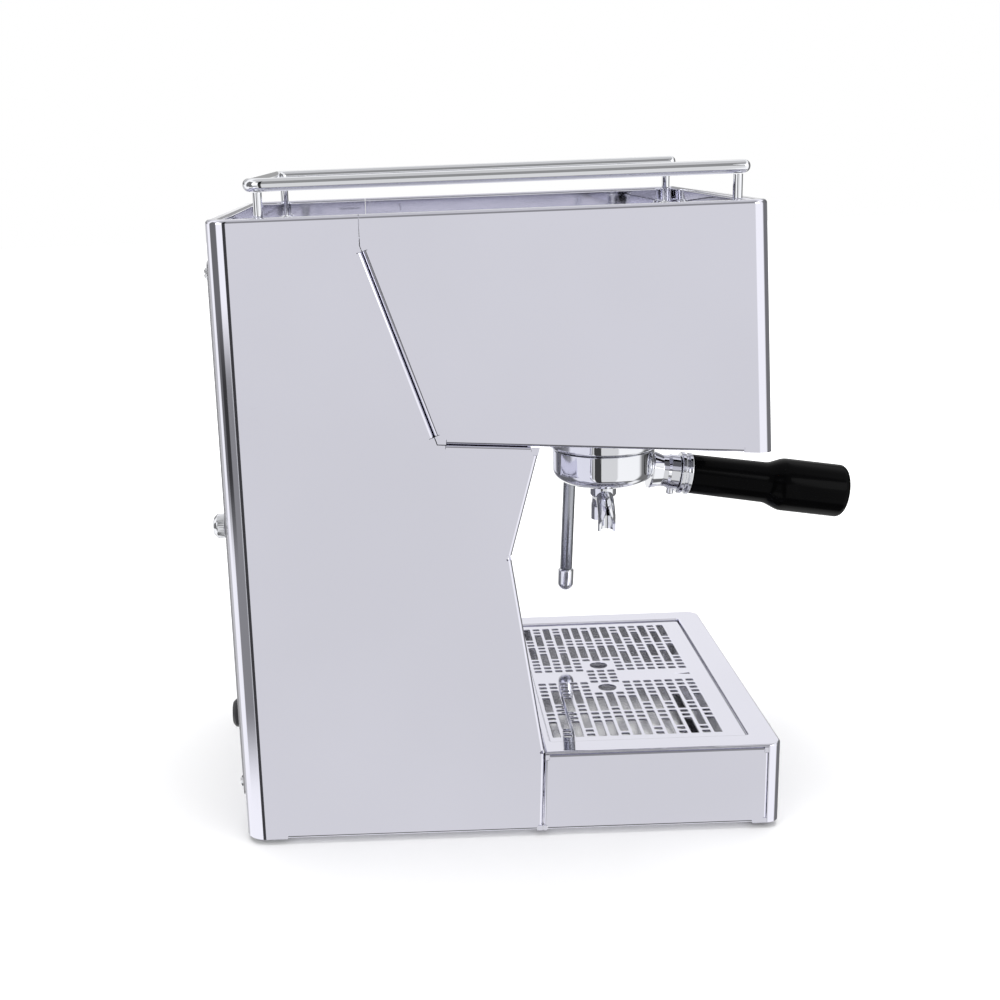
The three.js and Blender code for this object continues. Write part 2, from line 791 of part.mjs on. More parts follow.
// Drip tray frame: flat border round the opening, with the front apron turned down from it
const frontEdge = frontOf(bodyDepth);
const frameRearDistance = columnFootDistance + jointGap;
const frameOutline = roundedRectangle(
  -halfWidth,
  frontEdge,
  halfWidth,
  frontOf(frameRearDistance),
  frameCornerRadius,
  sheet / 2,
);
const openingOutline = (inset) => roundedRectangle(
  -openingHalfWidth + inset,
  frontOf(openingFrontDistance) + inset,
  openingHalfWidth - inset,
  frontOf(openingRearDistance) - inset,
  openingCornerRadius,
);
const framePlate = raised(frameOutline, frameTopHeight - sheet, frameTopHeight, [openingOutline(0)]);
const frameLip = raised(
  openingOutline(-frameLipWidth),
  frameTopHeight - sheet - frameLipDepth,
  frameTopHeight,
  [openingOutline(0)],
);
const apronRear = frontEdge + apronReturn + sheet / 2;
const apronCornerX = halfWidth - frameCornerRadius;
const apronCornerY = frontEdge + frameCornerRadius;
const apronOutline = (inset, rear) => [
  [halfWidth - inset, rear],
  [-halfWidth + inset, rear],
  ...arc(-apronCornerX, apronCornerY, frameCornerRadius - inset, 180, 270, cornerSteps),
  ...arc(apronCornerX, apronCornerY, frameCornerRadius - inset, 270, 360, cornerSteps),
];
const apronHollow = raised(
  apronOutline(sheet, apronRear + cutMargin),
  footHeight - cutMargin,
  frameTopHeight - sheet,
);
const apron = raised(apronOutline(0, apronRear), footHeight, frameTopHeight).subtract(apronHollow);
const apronFoot = raised(
  rectangle(
    -halfWidth + frameCornerRadius,
    frontEdge + sheet / 2,
    halfWidth - frameCornerRadius,
    frontEdge + apronFlange,
  ),
  footHeight,
  footHeight + sheet,
);
addPiece('drip_tray_frame', joined([framePlate, frameLip, apron, apronFoot]), polishedSteel);

// Drip pan hanging below the frame
const grilleLow = frameTopHeight - sheet - frameLipDepth;
const panFlangeTop = grilleLow - play;
const panOutline = (inset) => roundedRectangle(
  -panHalfWidth + inset,
  frontOf(panFrontDistance) + inset,
  panHalfWidth - inset,
  frontOf(panRearDistance) - inset,
  panCornerRadius,
);
const panLoop = (inset, height) => panOutline(inset).map(([x, y]) => [x, y, height]);
const panFlangeBlock = raised(
  roundedRectangle(
    -panHalfWidth - panFlange,
    frontOf(panFrontDistance + panFlange),
    panHalfWidth + panFlange,
    frontOf(panRearDistance - panFlange / 2),
    panCornerRadius / 2,
  ),
  panFlangeTop - sheet,
  panFlangeTop,
);
const cappedLoft = (low, high) => {
  const flat = (loop) => {
    const middle = new THREE.Vector3();
    loop.forEach((point) => middle.add(new THREE.Vector3(...point)));
    middle.divideScalar(loop.length);
    return loop.map(() => [middle.x, middle.y, middle.z]);
  };
  return closedLoops([flat(low), low, high, flat(high)]);
};
const panBody = cappedLoft(panLoop(panTaper, panFlangeTop - panDepth), panLoop(0, panFlangeTop));
const panHollow = cappedLoft(
  panLoop(panTaper + panWall, panFlangeTop - panDepth + panWall),
  panLoop(panWall, panFlangeTop + cutMargin),
);
addPiece('drip_pan', panBody.add(panFlangeBlock).subtract(panHollow), brushedSteel);

// Slotted drip grille. Every row runs across the machine as long and short slots in turn.
const shortRun = (count) => new Array(count).fill(shortSlot);
const fullRun = openingHalfWidth - grilleSideBorder - slotCentreGap + slotWeb;
const shortsInRow = 6;
const longsInRow = 2;
const longSlot = (fullRun - shortsInRow * (shortSlot + slotWeb)) / longsInRow - slotWeb;
const evenRow = [...shortRun(2), longSlot, ...shortRun(2), longSlot, ...shortRun(2)];
const oddRow = [...shortRun(4), longSlot, ...shortRun(2), longSlot];
const middleRow = [longSlot, ...shortRun(2), longSlot, ...shortRun(1)];
const flankRow = [...shortRun(1), longSlot, ...shortRun(2), longSlot];
const drainClear = drainOffset + drainRadius + drainMargin;
const slotsOf = (row, start) => {
  const spans = [];
  let place = start;
  for (const length of row) {
    spans.push([place, place + length]);
    spans.push([-place - length, -place]);
    place += length + slotWeb;
  }
  return spans;
};
const grilleHoles = [];
const addSlots = (spans, distance) => {
  for (const [left, right] of spans) {
    grilleHoles.push(rectangle(
      left,
      frontOf(distance + slotWidth / 2),
      right,
      frontOf(distance - slotWidth / 2),
    ));
  }
};
for (let index = 0; index < columnCount; index += 1) {
  const distance = lastColumnDistance - index * slotPitch;
  const fromGroup = Math.round((distance - groupDistance) / slotPitch);
  if (Math.abs(fromGroup) <= 1) {
    addSlots(slotsOf(fromGroup === 0 ? middleRow : flankRow, drainClear), distance);
    addSlots(slotsOf(shortRun(2), slotWeb / 2), distance);
  } else {
    addSlots(slotsOf(index % 2 === 0 ? oddRow : evenRow, slotCentreGap), distance);
  }
}
for (const x of [-drainOffset, drainOffset]) {
  grilleHoles.push(circle(x, groupY, drainRadius, smallRoundSteps));
}
const pointerTip = frontOf(lastColumnDistance - slotPitch);
grilleHoles.push([
  [-pointerWidth / 2, pointerTip - pointerLength],
  [pointerWidth / 2, pointerTip - pointerLength],
  [0, pointerTip],
]);
const grilleOutline = roundedRectangle(
  -openingHalfWidth + play,
  frontOf(openingFrontDistance - grilleFrontGap),
  openingHalfWidth - play,
  frontOf(openingRearDistance + play),
  openingCornerRadius,
);
const grille = raised(grilleOutline, grilleLow, grilleLow + grilleThickness, grilleHoles);
addPiece('drip_grille', grille, polishedSteel);

// Floor of the column, lying on the bottom flanges of the side walls
const floorLow = footHeight + sheet + play;
const floorHalfWidth = halfWidth - edgeBend - play;
const floorOutline = roundedRectangle(
  -floorHalfWidth,
  frontOf(baseJointDistance - splashInset - sheet - play),
  floorHalfWidth,
  frontOf(sheet + play),
  sheet,
  rearCornerBend + sheet,
);
const floorTop = floorLow + sheet;
addPiece('column_floor', raised(floorOutline, floorLow, floorTop), galvanised);

// Feet under the base and the column
const foot = (top) => turned([
  [0, 0],
  [footRadius - footTaper, 0],
  [footRadius, top],
  [0, top],
], smallRoundSteps);
for (const [word, x] of [['left', -footOffset], ['right', footOffset]]) {
  const front = moved(foot(footHeight - play), x, frontOf(footFrontDistance), 0);
  const rear = moved(foot(floorLow - play), x, frontOf(footRearDistance), 0);
  addPiece(`foot_front_${word}`, front, blackRubber);
  addPiece(`foot_rear_${word}`, rear, blackRubber);
}

// Cup tray: polished floor between the rim lips, cut out over the water tank
const tankOutline = (grow) => roundedRectangle(
  -tankWidth / 2 - grow,
  frontOf(tankRearDistance + tankDepth + grow),
  tankWidth / 2 + grow,
  frontOf(tankRearDistance - grow),
  tankCornerRadius + grow,
);
const cupTray = raised(
  bodyOutline(rimWidth - sheet - trayUnderLip),
  cupTrayHeight - sheet,
  cupTrayHeight,
  [tankOutline(lidMargin)],
);
addPiece('cup_tray', cupTray, polishedSteel);

// Tank lid, flush with the cup tray and lifted by its finger hole
const lidPlate = raised(
  tankOutline(lidMargin - play),
  cupTrayHeight - sheet,
  cupTrayHeight,
  [circle(0, frontOf(tankRearDistance + tankDepth / 2), lidGripRadius, roundSteps)],
);
const lidSkirt = raised(
  tankOutline(-tankWall - lidSkirtPlay),
  cupTrayHeight - sheet - lidSkirtDepth,
  cupTrayHeight - sheet / 2,
  [tankOutline(-tankWall - lidSkirtPlay - sheet)],
);
addPiece('tank_lid', lidPlate.add(lidSkirt), polishedSteel);

// Water tank: open at the top, with an outlet that drops through the shelf
const tankTop = cupTrayHeight - sheet - play;
const outletY = frontOf(tankRearDistance + tankDepth / 2);
const outletLow = tankBottomHeight - tankOutletLength;
const tankOutlet = rod(tankOutletRadius, outletLow, tankBottomHeight + tankWall / 2, smallRoundSteps);
const tank = joined([
  raised(tankOutline(0), tankBottomHeight, tankTop),
  raised(tankOutline(tankRimWidth), tankTop - tankRimHeight, tankTop),
  moved(tankOutlet, 0, outletY, 0),
]).subtract(raised(tankOutline(-tankWall), tankBottomHeight + tankWall, tankTop + cutMargin));
addPiece('water_tank', tank, tankPlastic);

// Shelf carrying the tank between the side walls
const shelfTop = tankBottomHeight - play;
const shelfFront = frontOf(tankRearDistance + tankDepth + lidMargin);
const shelfRear = frontOf(rearCornerBend + play);
const shelf = joined([
  forward(rectangle(-innerHalfWidth, shelfTop - sheet, innerHalfWidth, shelfTop), shelfRear, shelfFront),
  forward(
    rectangle(-innerHalfWidth, shelfTop - shelfFootWidth, -innerHalfWidth + sheet, shelfTop),
    shelfRear,
    shelfFront,
  ),
  forward(
    rectangle(innerHalfWidth - sheet, shelfTop - shelfFootWidth, innerHalfWidth, shelfTop),
    shelfRear,
    shelfFront,
  ),
]).subtract(moved(
  rod(tankOutletRadius + play, shelfTop - shelfFootWidth, shelfTop + cutMargin, smallRoundSteps),
  0,
  outletY,
  0,
));
addPiece('tank_shelf', shelf, galvanised);

// Cup rail: one tube round the sides and the rear, open at the front, on four posts
const railFront = frontOf(railFrontDistance);
const railRear = frontOf(railRearDistance);
const railBend = railHalfSpan - railCornerRadius;
const railPlan = [
  [-railHalfSpan, railFront],
  ...arc(-railBend, railRear - railCornerRadius, railCornerRadius, 180, 90, cornerSteps),
  ...arc(railBend, railRear - railCornerRadius, railCornerRadius, 90, 0, cornerSteps),
  [railHalfSpan, railFront],
];
const railLoop = ([x, y], before, after) => {
  const way = new THREE.Vector2(after[0] - before[0], after[1] - before[1]).normalize();
  return circle(0, 0, railRadius, smallRoundSteps).map(([across, up]) => (
    [x - across * way.y, y + across * way.x, railHeight + up]
  ));
};
const railLoops = railPlan.map((point, i) => (
  railLoop(point, railPlan[Math.max(i - 1, 0)], railPlan[Math.min(i + 1, railPlan.length - 1)])
));
const railTip = (x, turn, degrees) => (
  circle(0, 0, railRadius * Math.cos(radians(degrees)), smallRoundSteps).map(([across, up]) => (
    [x - turn * across, railFront - railRadius * Math.sin(radians(degrees)), railHeight + up]
  ))
);
const railTube = closedLoops([
  ...tipDegrees.map((degrees) => railTip(-railHalfSpan, 1, degrees)),
  ...railLoops,
  ...[...tipDegrees].reverse().map((degrees) => railTip(railHalfSpan, -1, degrees)),
]);
addPiece('cup_rail', railTube, chrome);

const postLow = cupTrayHeight + play;
const postTop = railHeight - railRadius - play;
const post = turned([
  [0, postLow],
  [postFootRadius, postLow],
  [postFootRadius, postLow + postFootHeight],
  [postRadius, postLow + postFootHeight],
  [postRadius, postTop],
  [0, postTop],
], smallRoundSteps);
for (const [word, x] of [['left', -railHalfSpan], ['right', railHalfSpan]]) {
  addPiece(`rail_post_front_${word}`, moved(post, x, frontOf(postFrontDistance), 0), chrome);
  addPiece(`rail_post_rear_${word}`, moved(post, x, frontOf(postRearDistance), 0), chrome);
}

// Rear panel with ventilation slots, held by four screws and two thumb nuts
const rearFace = rearWall + play;
const panelFace = rearFace + sheet;
const ventHoles = [];
for (const middle of [-ventColumnOffset, ventColumnOffset]) {
  for (let index = -2; index <= 2; index += 1) {
    const x = middle + index * ventPitch;
    ventHoles.push(rectangle(
      x - ventWidth / 2,
      ventHeight - ventLength / 2,
      x + ventWidth / 2,
      ventHeight + ventLength / 2,
    ));
  }
}
const glandStem = circle(-rearFittingOffset, glandHeight, glandStemRadius + play, smallRoundSteps);
const rearPanel = forward(
  roundedRectangle(-rearPanelHalfWidth, rearPanelLow, rearPanelHalfWidth, rearPanelHigh, rearPanelRadius),
  panelFace,
  rearFace,
  [...ventHoles, glandStem],
);
addPiece('rear_panel', rearPanel, brushedSteel);

// Turned pieces that point to the rear are drawn upright and laid down
const layToRear = (body, x, height, start) => placedBy(
  body,
  basis([1, 0, 0], [0, 0, -1], [0, 1, 0], x, start, height),
);
const screwHead = turned([
  [0, 0],
  [screwHeadRadius, 0],
  [screwHeadRadius, screwHeadHeight / 2],
  [screwHeadRadius / 2, screwHeadHeight],
  [0, screwHeadHeight],
], smallRoundSteps).subtract(raised(
  rectangle(
    -screwHeadRadius - cutMargin,
    -screwSlotWidth / 2,
    screwHeadRadius + cutMargin,
    screwSlotWidth / 2,
  ),
  screwHeadHeight / 2,
  screwHeadHeight + cutMargin,
));
const screwX = rearPanelHalfWidth - screwInset;
for (const [word, x] of [['left', -screwX], ['right', screwX]]) {
  const start = panelFace + play;
  addPiece(`rear_screw_low_${word}`, layToRear(screwHead, x, rearPanelLow + screwInset, start), chrome);
  addPiece(`rear_screw_high_${word}`, layToRear(screwHead, x, rearPanelHigh - screwInset, start), chrome);
  const nut = turned([
    [0, 0],
    [capNutRadius, 0],
    [capNutRadius, capNutLength - capNutRadius / 2],
    ...arc(0, capNutLength - capNutRadius / 2, capNutRadius, 0, 90, cornerSteps)
      .map(([r, h]) => [r, capNutLength - capNutRadius / 2 + (h - capNutLength + capNutRadius / 2) / 2])
      .slice(1, -1),
    [0, capNutLength],
  ], roundSteps);
  addPiece(`rear_thumb_nut_${word}`, layToRear(nut, x, capNutHeight, start), chrome);
}

// Gland for the supply cord in the rear panel, with an open bore
const gland = turned([
  [glandBore, -glandLength],
  [glandRadius, -glandLength],
  [glandRadius, -sheet - play],
  [glandStemRadius, -sheet - play],
  [glandStemRadius, sheet + play],
  [glandRadius, sheet + play],
  [glandRadius, glandLength - glandBore / 2],
  [glandRadius - glandBore / 2, glandLength],
  [glandBore, glandLength],
  [glandBore, -glandLength],
], ballSteps);
addPiece('cord_gland', layToRear(gland, -rearFittingOffset, glandHeight, rearFace), greyPlastic);

// Group head: bell with two ledges that carry the lugs of the filter holder
const plateOver = (distance) => undersideHeight(distance) + undersideLift + sheet;
const bellFlangeLow = plateOver(groupDistance - bellFlangeRadius) + play;
const bellTop = bellFlangeLow + bellFlangeThickness;
const ledgeTop = bellLipHeight + ledgeThickness;
const bell = turned([
  [bellMouthRadius, bellLipHeight],
  [bellRadius - bellRounding, bellLipHeight],
  [bellRadius, bellLipHeight + bellRounding],
  [bellRadius, bellFlangeLow],
  [bellFlangeRadius, bellFlangeLow],
  [bellFlangeRadius, bellTop],
  [feedRadius, bellTop],
  [feedRadius, grooveHeight],
  [bellGrooveRadius, grooveHeight],
  [bellGrooveRadius, ledgeTop],
  [bellMouthRadius, ledgeTop],
  [bellMouthRadius, bellLipHeight],
], largeRoundSteps);

// Sector of a ring, centred on the given direction
const sector = (inner, outer, low, high, middleDegrees, spanDegrees) => raised([
  ...arc(0, 0, outer, middleDegrees - spanDegrees / 2, middleDegrees + spanDegrees / 2, cornerSteps),
  ...arc(0, 0, inner, middleDegrees + spanDegrees / 2, middleDegrees - spanDegrees / 2, cornerSteps),
], low, high);
const slotLow = bellLipHeight - cutMargin;
const ledgeSlots = [0, 180].map((middle) => sector(
  bellMouthRadius / 2,
  bellGrooveRadius,
  slotLow,
  ledgeTop + cutMargin,
  middle - unlockDegrees,
  ledgeSlotDegrees,
));
addPiece('group_bell', moved(withoutAll(bell, ledgeSlots), 0, groupY, 0), chrome);

const gasketLow = bowlRimHeight + 2 * play + basketWall + play;
const gasket = ring(gasketInnerRadius, gasketOuterRadius, gasketLow, grooveHeight - play, roundSteps);
addPiece('group_gasket', moved(gasket, 0, groupY, 0), blackRubber);

const screenTop = grooveHeight - play;
const screenBlank = turned([
  [0, screenTop - screenDish],
  [screenRadius, screenTop - screenDish],
  [screenRadius, screenTop],
  [screenRadius - screenThickness, screenTop],
  [screenRadius - screenThickness, screenTop - screenDish + screenThickness],
  [0, screenTop - screenDish + screenThickness],
], largeRoundSteps);
const screenCutLow = screenTop - screenDish - cutMargin;
const screenCutHigh = screenTop + cutMargin;
const screenHoles = [rod(screenScrewBore, screenCutLow, screenCutHigh, tinyRoundSteps)];
for (const [ringIndex, radius] of screenHoleRings.entries()) {
  const count = screenHoleCount * (ringIndex + 1);
  for (let index = 0; index < count; index += 1) {
    const angle = radians(360 * index / count);
    const hole = rod(screenHoleRadius, screenCutLow, screenCutHigh, screenHoleSides);
    screenHoles.push(moved(hole, radius * Math.cos(angle), radius * Math.sin(angle), 0));
  }
}
addPiece('shower_screen', moved(withoutAll(screenBlank, screenHoles), 0, groupY, 0), polishedSteel);

const screenUnder = screenTop - screenDish;
const screenScrew = turned([
  [0, screenUnder - play - screenScrewHeight],
  [screenScrewRadius - play, screenUnder - play - screenScrewHeight],
  [screenScrewRadius, screenUnder - play],
  [screenScrewBore - play, screenUnder - play],
  [screenScrewBore - play, screenTop],
  [0, screenTop],
], smallRoundSteps);
addPiece('screen_screw', moved(screenScrew, 0, groupY, 0), chrome);

// Filter holder: bowl, lugs and the sloping neck in one casting
const handleFrame = new THREE.Matrix4()
  .makeTranslation(0, frontOf(handleAnchorDistance), handleAnchorHeight)
  .multiply(new THREE.Matrix4().makeRotationX(radians(handleSlopeDegrees - 90)));
const onHandle = (body) => placedBy(body, handleFrame);
const bowlProfile = [
  [bowlOutletRadius, bowlBottomHeight],
  [spoutHubRadius, bowlBottomHeight],
  ...bowlShares.map(([out, up]) => [
    spoutHubRadius + (bowlRadius - spoutHubRadius) * out,
    bowlBottomHeight + (bowlKneeHeight - bowlBottomHeight) * up,
  ]),
  [bowlRadius, bowlTopHeight],
  [bowlRimRadius, bowlTopHeight],
  [bowlRimRadius, bowlRimHeight],
  [bowlBoreRadius, bowlRimHeight],
  [bowlBoreRadius, bowlFloorHeight],
  [bowlOutletRadius, bowlFloorHeight - bowlFloorFall],
  [bowlOutletRadius, bowlBottomHeight],
];
const lugs = [0, 180].map((middle) => sector(
  bowlRimRadius - sheet,
  lugRadius,
  ledgeTop + lugPlay,
  ledgeTop + lugPlay + lugHeight,
  middle,
  lugDegrees,
));
const neckReach = handleAnchorDistance - groupDistance - bowlBoreRadius - neckInset;
const neck = onHandle(turned([
  [0, collarLength],
  [neckRadius, collarLength],
  [neckRadius, neckReach - neckFlare],
  [neckRootRadius, neckReach],
  [0, neckReach],
], roundSteps));
const bowlInside = rod(bowlBoreRadius, bowlFloorHeight, bowlRimHeight + cutMargin, largeRoundSteps);
const neckPin = rod(neckPinRadius, 0, neckPinLength, tinyRoundSteps);
const pinPlace = handleFrame.clone()
  .multiply(new THREE.Matrix4().makeTranslation(0, 0, neckPinOffset))
  .multiply(new THREE.Matrix4().makeRotationX(-Math.PI / 2));
const holderBowl = moved(turned(bowlProfile, largeRoundSteps), 0, groupY, 0);
const holder = joined([
  holderBowl,
  ...lugs.map((lug) => moved(lug, 0, groupY, 0)),
  neck,
  placedBy(neckPin, pinPlace),
]).subtract(moved(bowlInside, 0, groupY, 0));
addPiece('filter_holder', holder, chrome);

const basketRimLow = bowlRimHeight + play;
const basket = turned([
  [0, basketRimLow - basketDepth],
  [basketFloorRadius, basketRimLow - basketDepth],
  [basketRadius, basketRimLow - basketDepth + basketKnee],
  [basketRadius, basketRimLow],
  [basketRimRadius, basketRimLow],
  [basketRimRadius, basketRimLow + basketWall],
  [basketRadius - basketWall, basketRimLow + basketWall],
  [basketRadius - basketWall, basketRimLow - basketDepth + basketKnee + basketWall / 2],
  [basketFloorRadius - basketWall / 2, basketRimLow - basketDepth + basketWall],
  [0, basketRimLow - basketDepth + basketWall],
], roundSteps);
addPiece('filter_basket', moved(basket, 0, groupY, 0), polishedSteel);

// Double spout: a threaded hub whose two arms curve down, open as channels at their tips
const spoutHubTop = bowlBottomHeight - play;
const spoutPath = (way) => [
  [0, 0, spoutCrownHeight + spoutRise],
  [way * spoutOffset / 2, 0, spoutCrownHeight + spoutRise / 2],
  [way * spoutOffset, 0, spoutCrownHeight - spoutRise],
  [way * spoutOffset, 0, spoutTipHeight],
];
const spoutBorePath = (way) => [
  ...spoutPath(way).slice(0, -1),
  [way * spoutOffset, 0, spoutTipHeight - cutMargin],
];
const spoutArms = [-1, 1].map((way) => bar(spoutRadius, spoutPath(way), tubeSteps, smallRoundSteps));
const spoutBores = [-1, 1].map((way) => bar(spoutBore, spoutBorePath(way), tubeSteps, tinyRoundSteps));
const spoutHub = rod(spoutHubRadius, spoutHubTop - spoutHubHeight, spoutHubTop, hexagonSides);
const spoutHubBore = rod(spoutBore, spoutCrownHeight, spoutHubTop + cutMargin, tinyRoundSteps);
const spout = withoutAll(joined([spoutHub, ...spoutArms]), [spoutHubBore, ...spoutBores]);
addPiece('double_spout', moved(spout, 0, groupY, 0), chrome);

// Handle: chromed collar, black grip and the bolt between them, all turned about the sloping axis
const collar = turned([
  [0, 0],
  [collarRadius, 0],
  [collarRadius, collarLength / 3],
  [collarRadius - collarGroove, collarLength / 2],
  [collarRadius, collarLength * 2 / 3],
  [collarRadius, collarLength - play],
  [0, collarLength - play],
], roundSteps);
addPiece('handle_collar', onHandle(collar), chrome);
const gripEnd = play + gripLength;
const flareEnd = gripStraight + gripFlare;
const gripProfile = [
  [0, -play],
  [gripNeckRadius, -play],
  [gripWaistRadius, -gripStraight],
  ...gripFlareShares.map(([out, along]) => [
    gripWaistRadius + (gripRadius - gripWaistRadius) * out,
    -gripStraight - gripFlare * along,
  ]),
  [gripRadius, -flareEnd],
  ...arc(gripRadius - gripEndRounding, gripEndRounding - gripEnd, gripEndRounding, 0, -90, foldSteps),
  [0, -gripEnd],
];
const grip = turned(gripProfile, roundSteps);
addPiece('handle_grip', onHandle(grip), blackPlastic);

// Steam wand: fixed nut under the head, ball, straight tube and nozzle
const wandNut = turned([
  [wandStemRadius - sheet, wandPivotHeight + wandSocketLift],
  [wandNutRadius - sheet, wandPivotHeight + wandSocketLift],
  [wandNutRadius, wandPivotHeight + wandSocketLift + sheet],
  [wandNutRadius, wandNutTop],
  [wandStemRadius, wandNutTop],
  [wandStemRadius, wandStemTop],
  [wandBore, wandStemTop],
  [wandBore, wandNutTop],
  [wandStemRadius - sheet, wandNutTop - wandStemRadius / 2],
  [wandStemRadius - sheet, wandPivotHeight + wandSocketLift],
], roundSteps);
const wandSocket = moved(ball(wandBallRadius + play, ballSteps), 0, 0, wandPivotHeight);
addPiece('wand_nut', moved(wandNut.subtract(wandSocket), wandOffset, wandY, 0), chrome);

const wandFrame = new THREE.Matrix4()
  .makeTranslation(wandOffset, wandY, wandPivotHeight)
  .multiply(new THREE.Matrix4().makeRotationX(radians(wandLeanDegrees)));
addPiece('wand_ball', placedBy(ball(wandBallRadius, ballSteps), wandFrame), chrome);
const wandTube = ring(wandBore, wandRadius, -wandTubeEnd, -play, smallRoundSteps)
  .subtract(ball(wandBallRadius + play, ballSteps));
addPiece('steam_wand', placedBy(wandTube, wandFrame), polishedSteel);
const nozzleTop = -wandTubeEnd - play;
const nozzle = joined([
  turned([
    [0, nozzleTop - nozzleLength],
    ...arc(0, nozzleTop - nozzleLength + nozzleRadius, nozzleRadius, -90, 0, cornerSteps).slice(1),
    [nozzleRadius, nozzleTop - sheet],
    [nozzleRadius - sheet / 2, nozzleTop],
    [0, nozzleTop],
  ], roundSteps),
  rod(nozzleSpigotRadius, nozzleTop - sheet, nozzleTop + nozzleSpigot, tinyRoundSteps),
]);
addPiece('steam_nozzle', placedBy(nozzle, wandFrame), chrome);

// Pressure gauge in the middle of the front face
const atFace = (body, across, up) => placedBy(moved(body, across, up, 0), faceFrame);
const gaugeFloor = gaugeBezelDepth - gaugeRecess;
const gaugeCase = turned([
  [0, -gaugeCaseDepth],
  [gaugeHoleRadius - play, -gaugeCaseDepth],
  [gaugeHoleRadius - play, play],
  [gaugeBezelRadius, play],
  [gaugeBezelRadius, gaugeBezelDepth - sheet],
  [gaugeBezelRadius - sheet, gaugeBezelDepth],
  [gaugeFaceRadius, gaugeBezelDepth],
  [gaugeFaceRadius, gaugeFloor],
  [0, gaugeFloor],
], largeRoundSteps);
addPiece('gauge_case', atFace(gaugeCase, 0, gaugeUp), chrome);
const dialLow = gaugeFloor + play;
const dial = rod(gaugeFaceRadius - play, dialLow, dialLow + needleThickness, largeRoundSteps);
addPiece('gauge_dial', atFace(dial, 0, gaugeUp), dialWhite);
const needleLow = dialLow + needleThickness + play;
const needlePoints = [
  [needleWidth / 2, -needleTail],
  [needleWidth / 4, needleLength],
  [-needleWidth / 4, needleLength],
  [-needleWidth / 2, -needleTail],
];
const needleFlat = raised(needlePoints, needleLow, needleLow + needleThickness);
const needleHub = rod(needleHubRadius, needleLow, needleLow + 2 * needleThickness, smallRoundSteps);
const restTurn = new THREE.Matrix4().makeRotationZ(radians(needleRestDegrees));
const needle = placedBy(needleFlat.add(needleHub), restTurn);
addPiece('gauge_needle', atFace(needle, 0, gaugeUp), needleRed);
const glassHigh = gaugeBezelDepth - gaugeGlassSink;
const glassLow = glassHigh - gaugeGlassThickness;
const gaugeGlass = rod(gaugeFaceRadius - play, glassLow, glassHigh, largeRoundSteps);
addPiece('gauge_glass', atFace(gaugeGlass, 0, gaugeUp), clearGlass);

// Three rocker switches, each a frame with its own rocker
const pocketHalfWidth = switchWidth / 2 - rockerWall;
const pocketHalfHeight = switchHeight / 2 - rockerWall;
const rockerHalf = pocketHalfHeight - rockerSway;
const rockerOutline = [
  [-rockerHalf, rockerProud],
  [-rockerHalf, -rockerPivotDepth / 2],
  [0, -rockerPivotDepth - rockerHeel],
  [rockerHalf, -rockerPivotDepth / 2],
  [rockerHalf, rockerProud],
  [0, rockerProud - rockerDip],
];
const rockerUpright = extruded(
  rockerOutline,
  2 * (pocketHalfWidth - rockerPlay),
  basis([0, 1, 0], [0, 0, 1], [1, 0, 0], rockerPlay - pocketHalfWidth),
);
const tiltRocker = new THREE.Matrix4()
  .makeTranslation(0, 0, -rockerPivotDepth)
  .multiply(new THREE.Matrix4().makeRotationX(radians(rockerTiltDegrees)))
  .multiply(new THREE.Matrix4().makeTranslation(0, 0, rockerPivotDepth));
for (const [index, word] of ['power', 'brew', 'steam'].entries()) {
  const across = switchAcross[index];
  const body = raised(rectangle(
    -switchWidth / 2 + play,
    -switchHeight / 2 + play,
    switchWidth / 2 - play,
    switchHeight / 2 - play,
  ), -switchDepth, bezelProud);
  const border = raised(rectangle(
    -switchWidth / 2 - bezelBorder,
    -switchHeight / 2 - bezelBorder,
    switchWidth / 2 + bezelBorder,
    switchHeight / 2 + bezelBorder,
  ), play, bezelProud);
  const pocket = raised(
    rectangle(-pocketHalfWidth, -pocketHalfHeight, pocketHalfWidth, pocketHalfHeight),
    -rockerPivotDepth - rockerHeel - rockerPlay,
    bezelProud + cutMargin,
  );
  const frame = body.add(border).subtract(pocket);
  addPiece(`${word}_switch_frame`, atFace(frame, across, switchUp), greyPlastic);
  const rocker = placedBy(rockerUpright, tiltRocker);
  addPiece(`${word}_switch_rocker`, atFace(rocker, across, switchUp), blackPlastic);
}

// Indicator lamp above the power switch
const lampLens = turned([
  [0, -lampDepth],
  [lampRadius - play, -lampDepth],
  [lampRadius - play, play],
  [lampRimRadius, play],
  [lampRimRadius - play, lampProud / 2],
  [lampRadius / 2, lampProud],
  [0, lampProud],
], smallRoundSteps);
addPiece('lamp_lens', atFace(lampLens, switchAcross[0], lampUp), lampOrange);

// Steam valve behind the face, and the fluted knob on its shaft
const valveFront = -sheet - play;
const sleeve = ring(
  shaftRadius + play,
  shaftSleeveRadius - play,
  valveFront - valveLength / 2,
  knobStandOff - play,
  smallRoundSteps,
);
const valveBlock = ring(shaftRadius + play, valveRadius, valveFront - valveLength, valveFront, roundSteps);
const valveCap = rod(valveRadius, valveFront - valveLength - sheet, valveFront - valveLength, roundSteps);
addPiece('steam_valve', atFace(joined([sleeve, valveBlock, valveCap]), knobAcross, knobUp), brass);
const knobTop = knobStandOff + knobLength;
const knobBlank = turned([
  [0, knobStandOff],
  [knobRadius - knobRounding, knobStandOff],
  [knobRadius, knobStandOff + knobRounding],
  [knobRadius, knobTop - knobRounding],
  [knobRadius - knobRounding, knobTop],
  [0, knobTop],
], roundSteps);
const knobFlutes = [];
for (let index = 0; index < knobFluteCount; index += 1) {
  const angle = radians(360 * (index + 1 / 2) / knobFluteCount);
  const reach = knobRadius + knobFluteRadius / 3;
  knobFlutes.push(moved(
    rod(knobFluteRadius, knobStandOff - cutMargin, knobTop + cutMargin, smallRoundSteps),
    reach * Math.cos(angle),
    reach * Math.sin(angle),
    0,
  ));
}
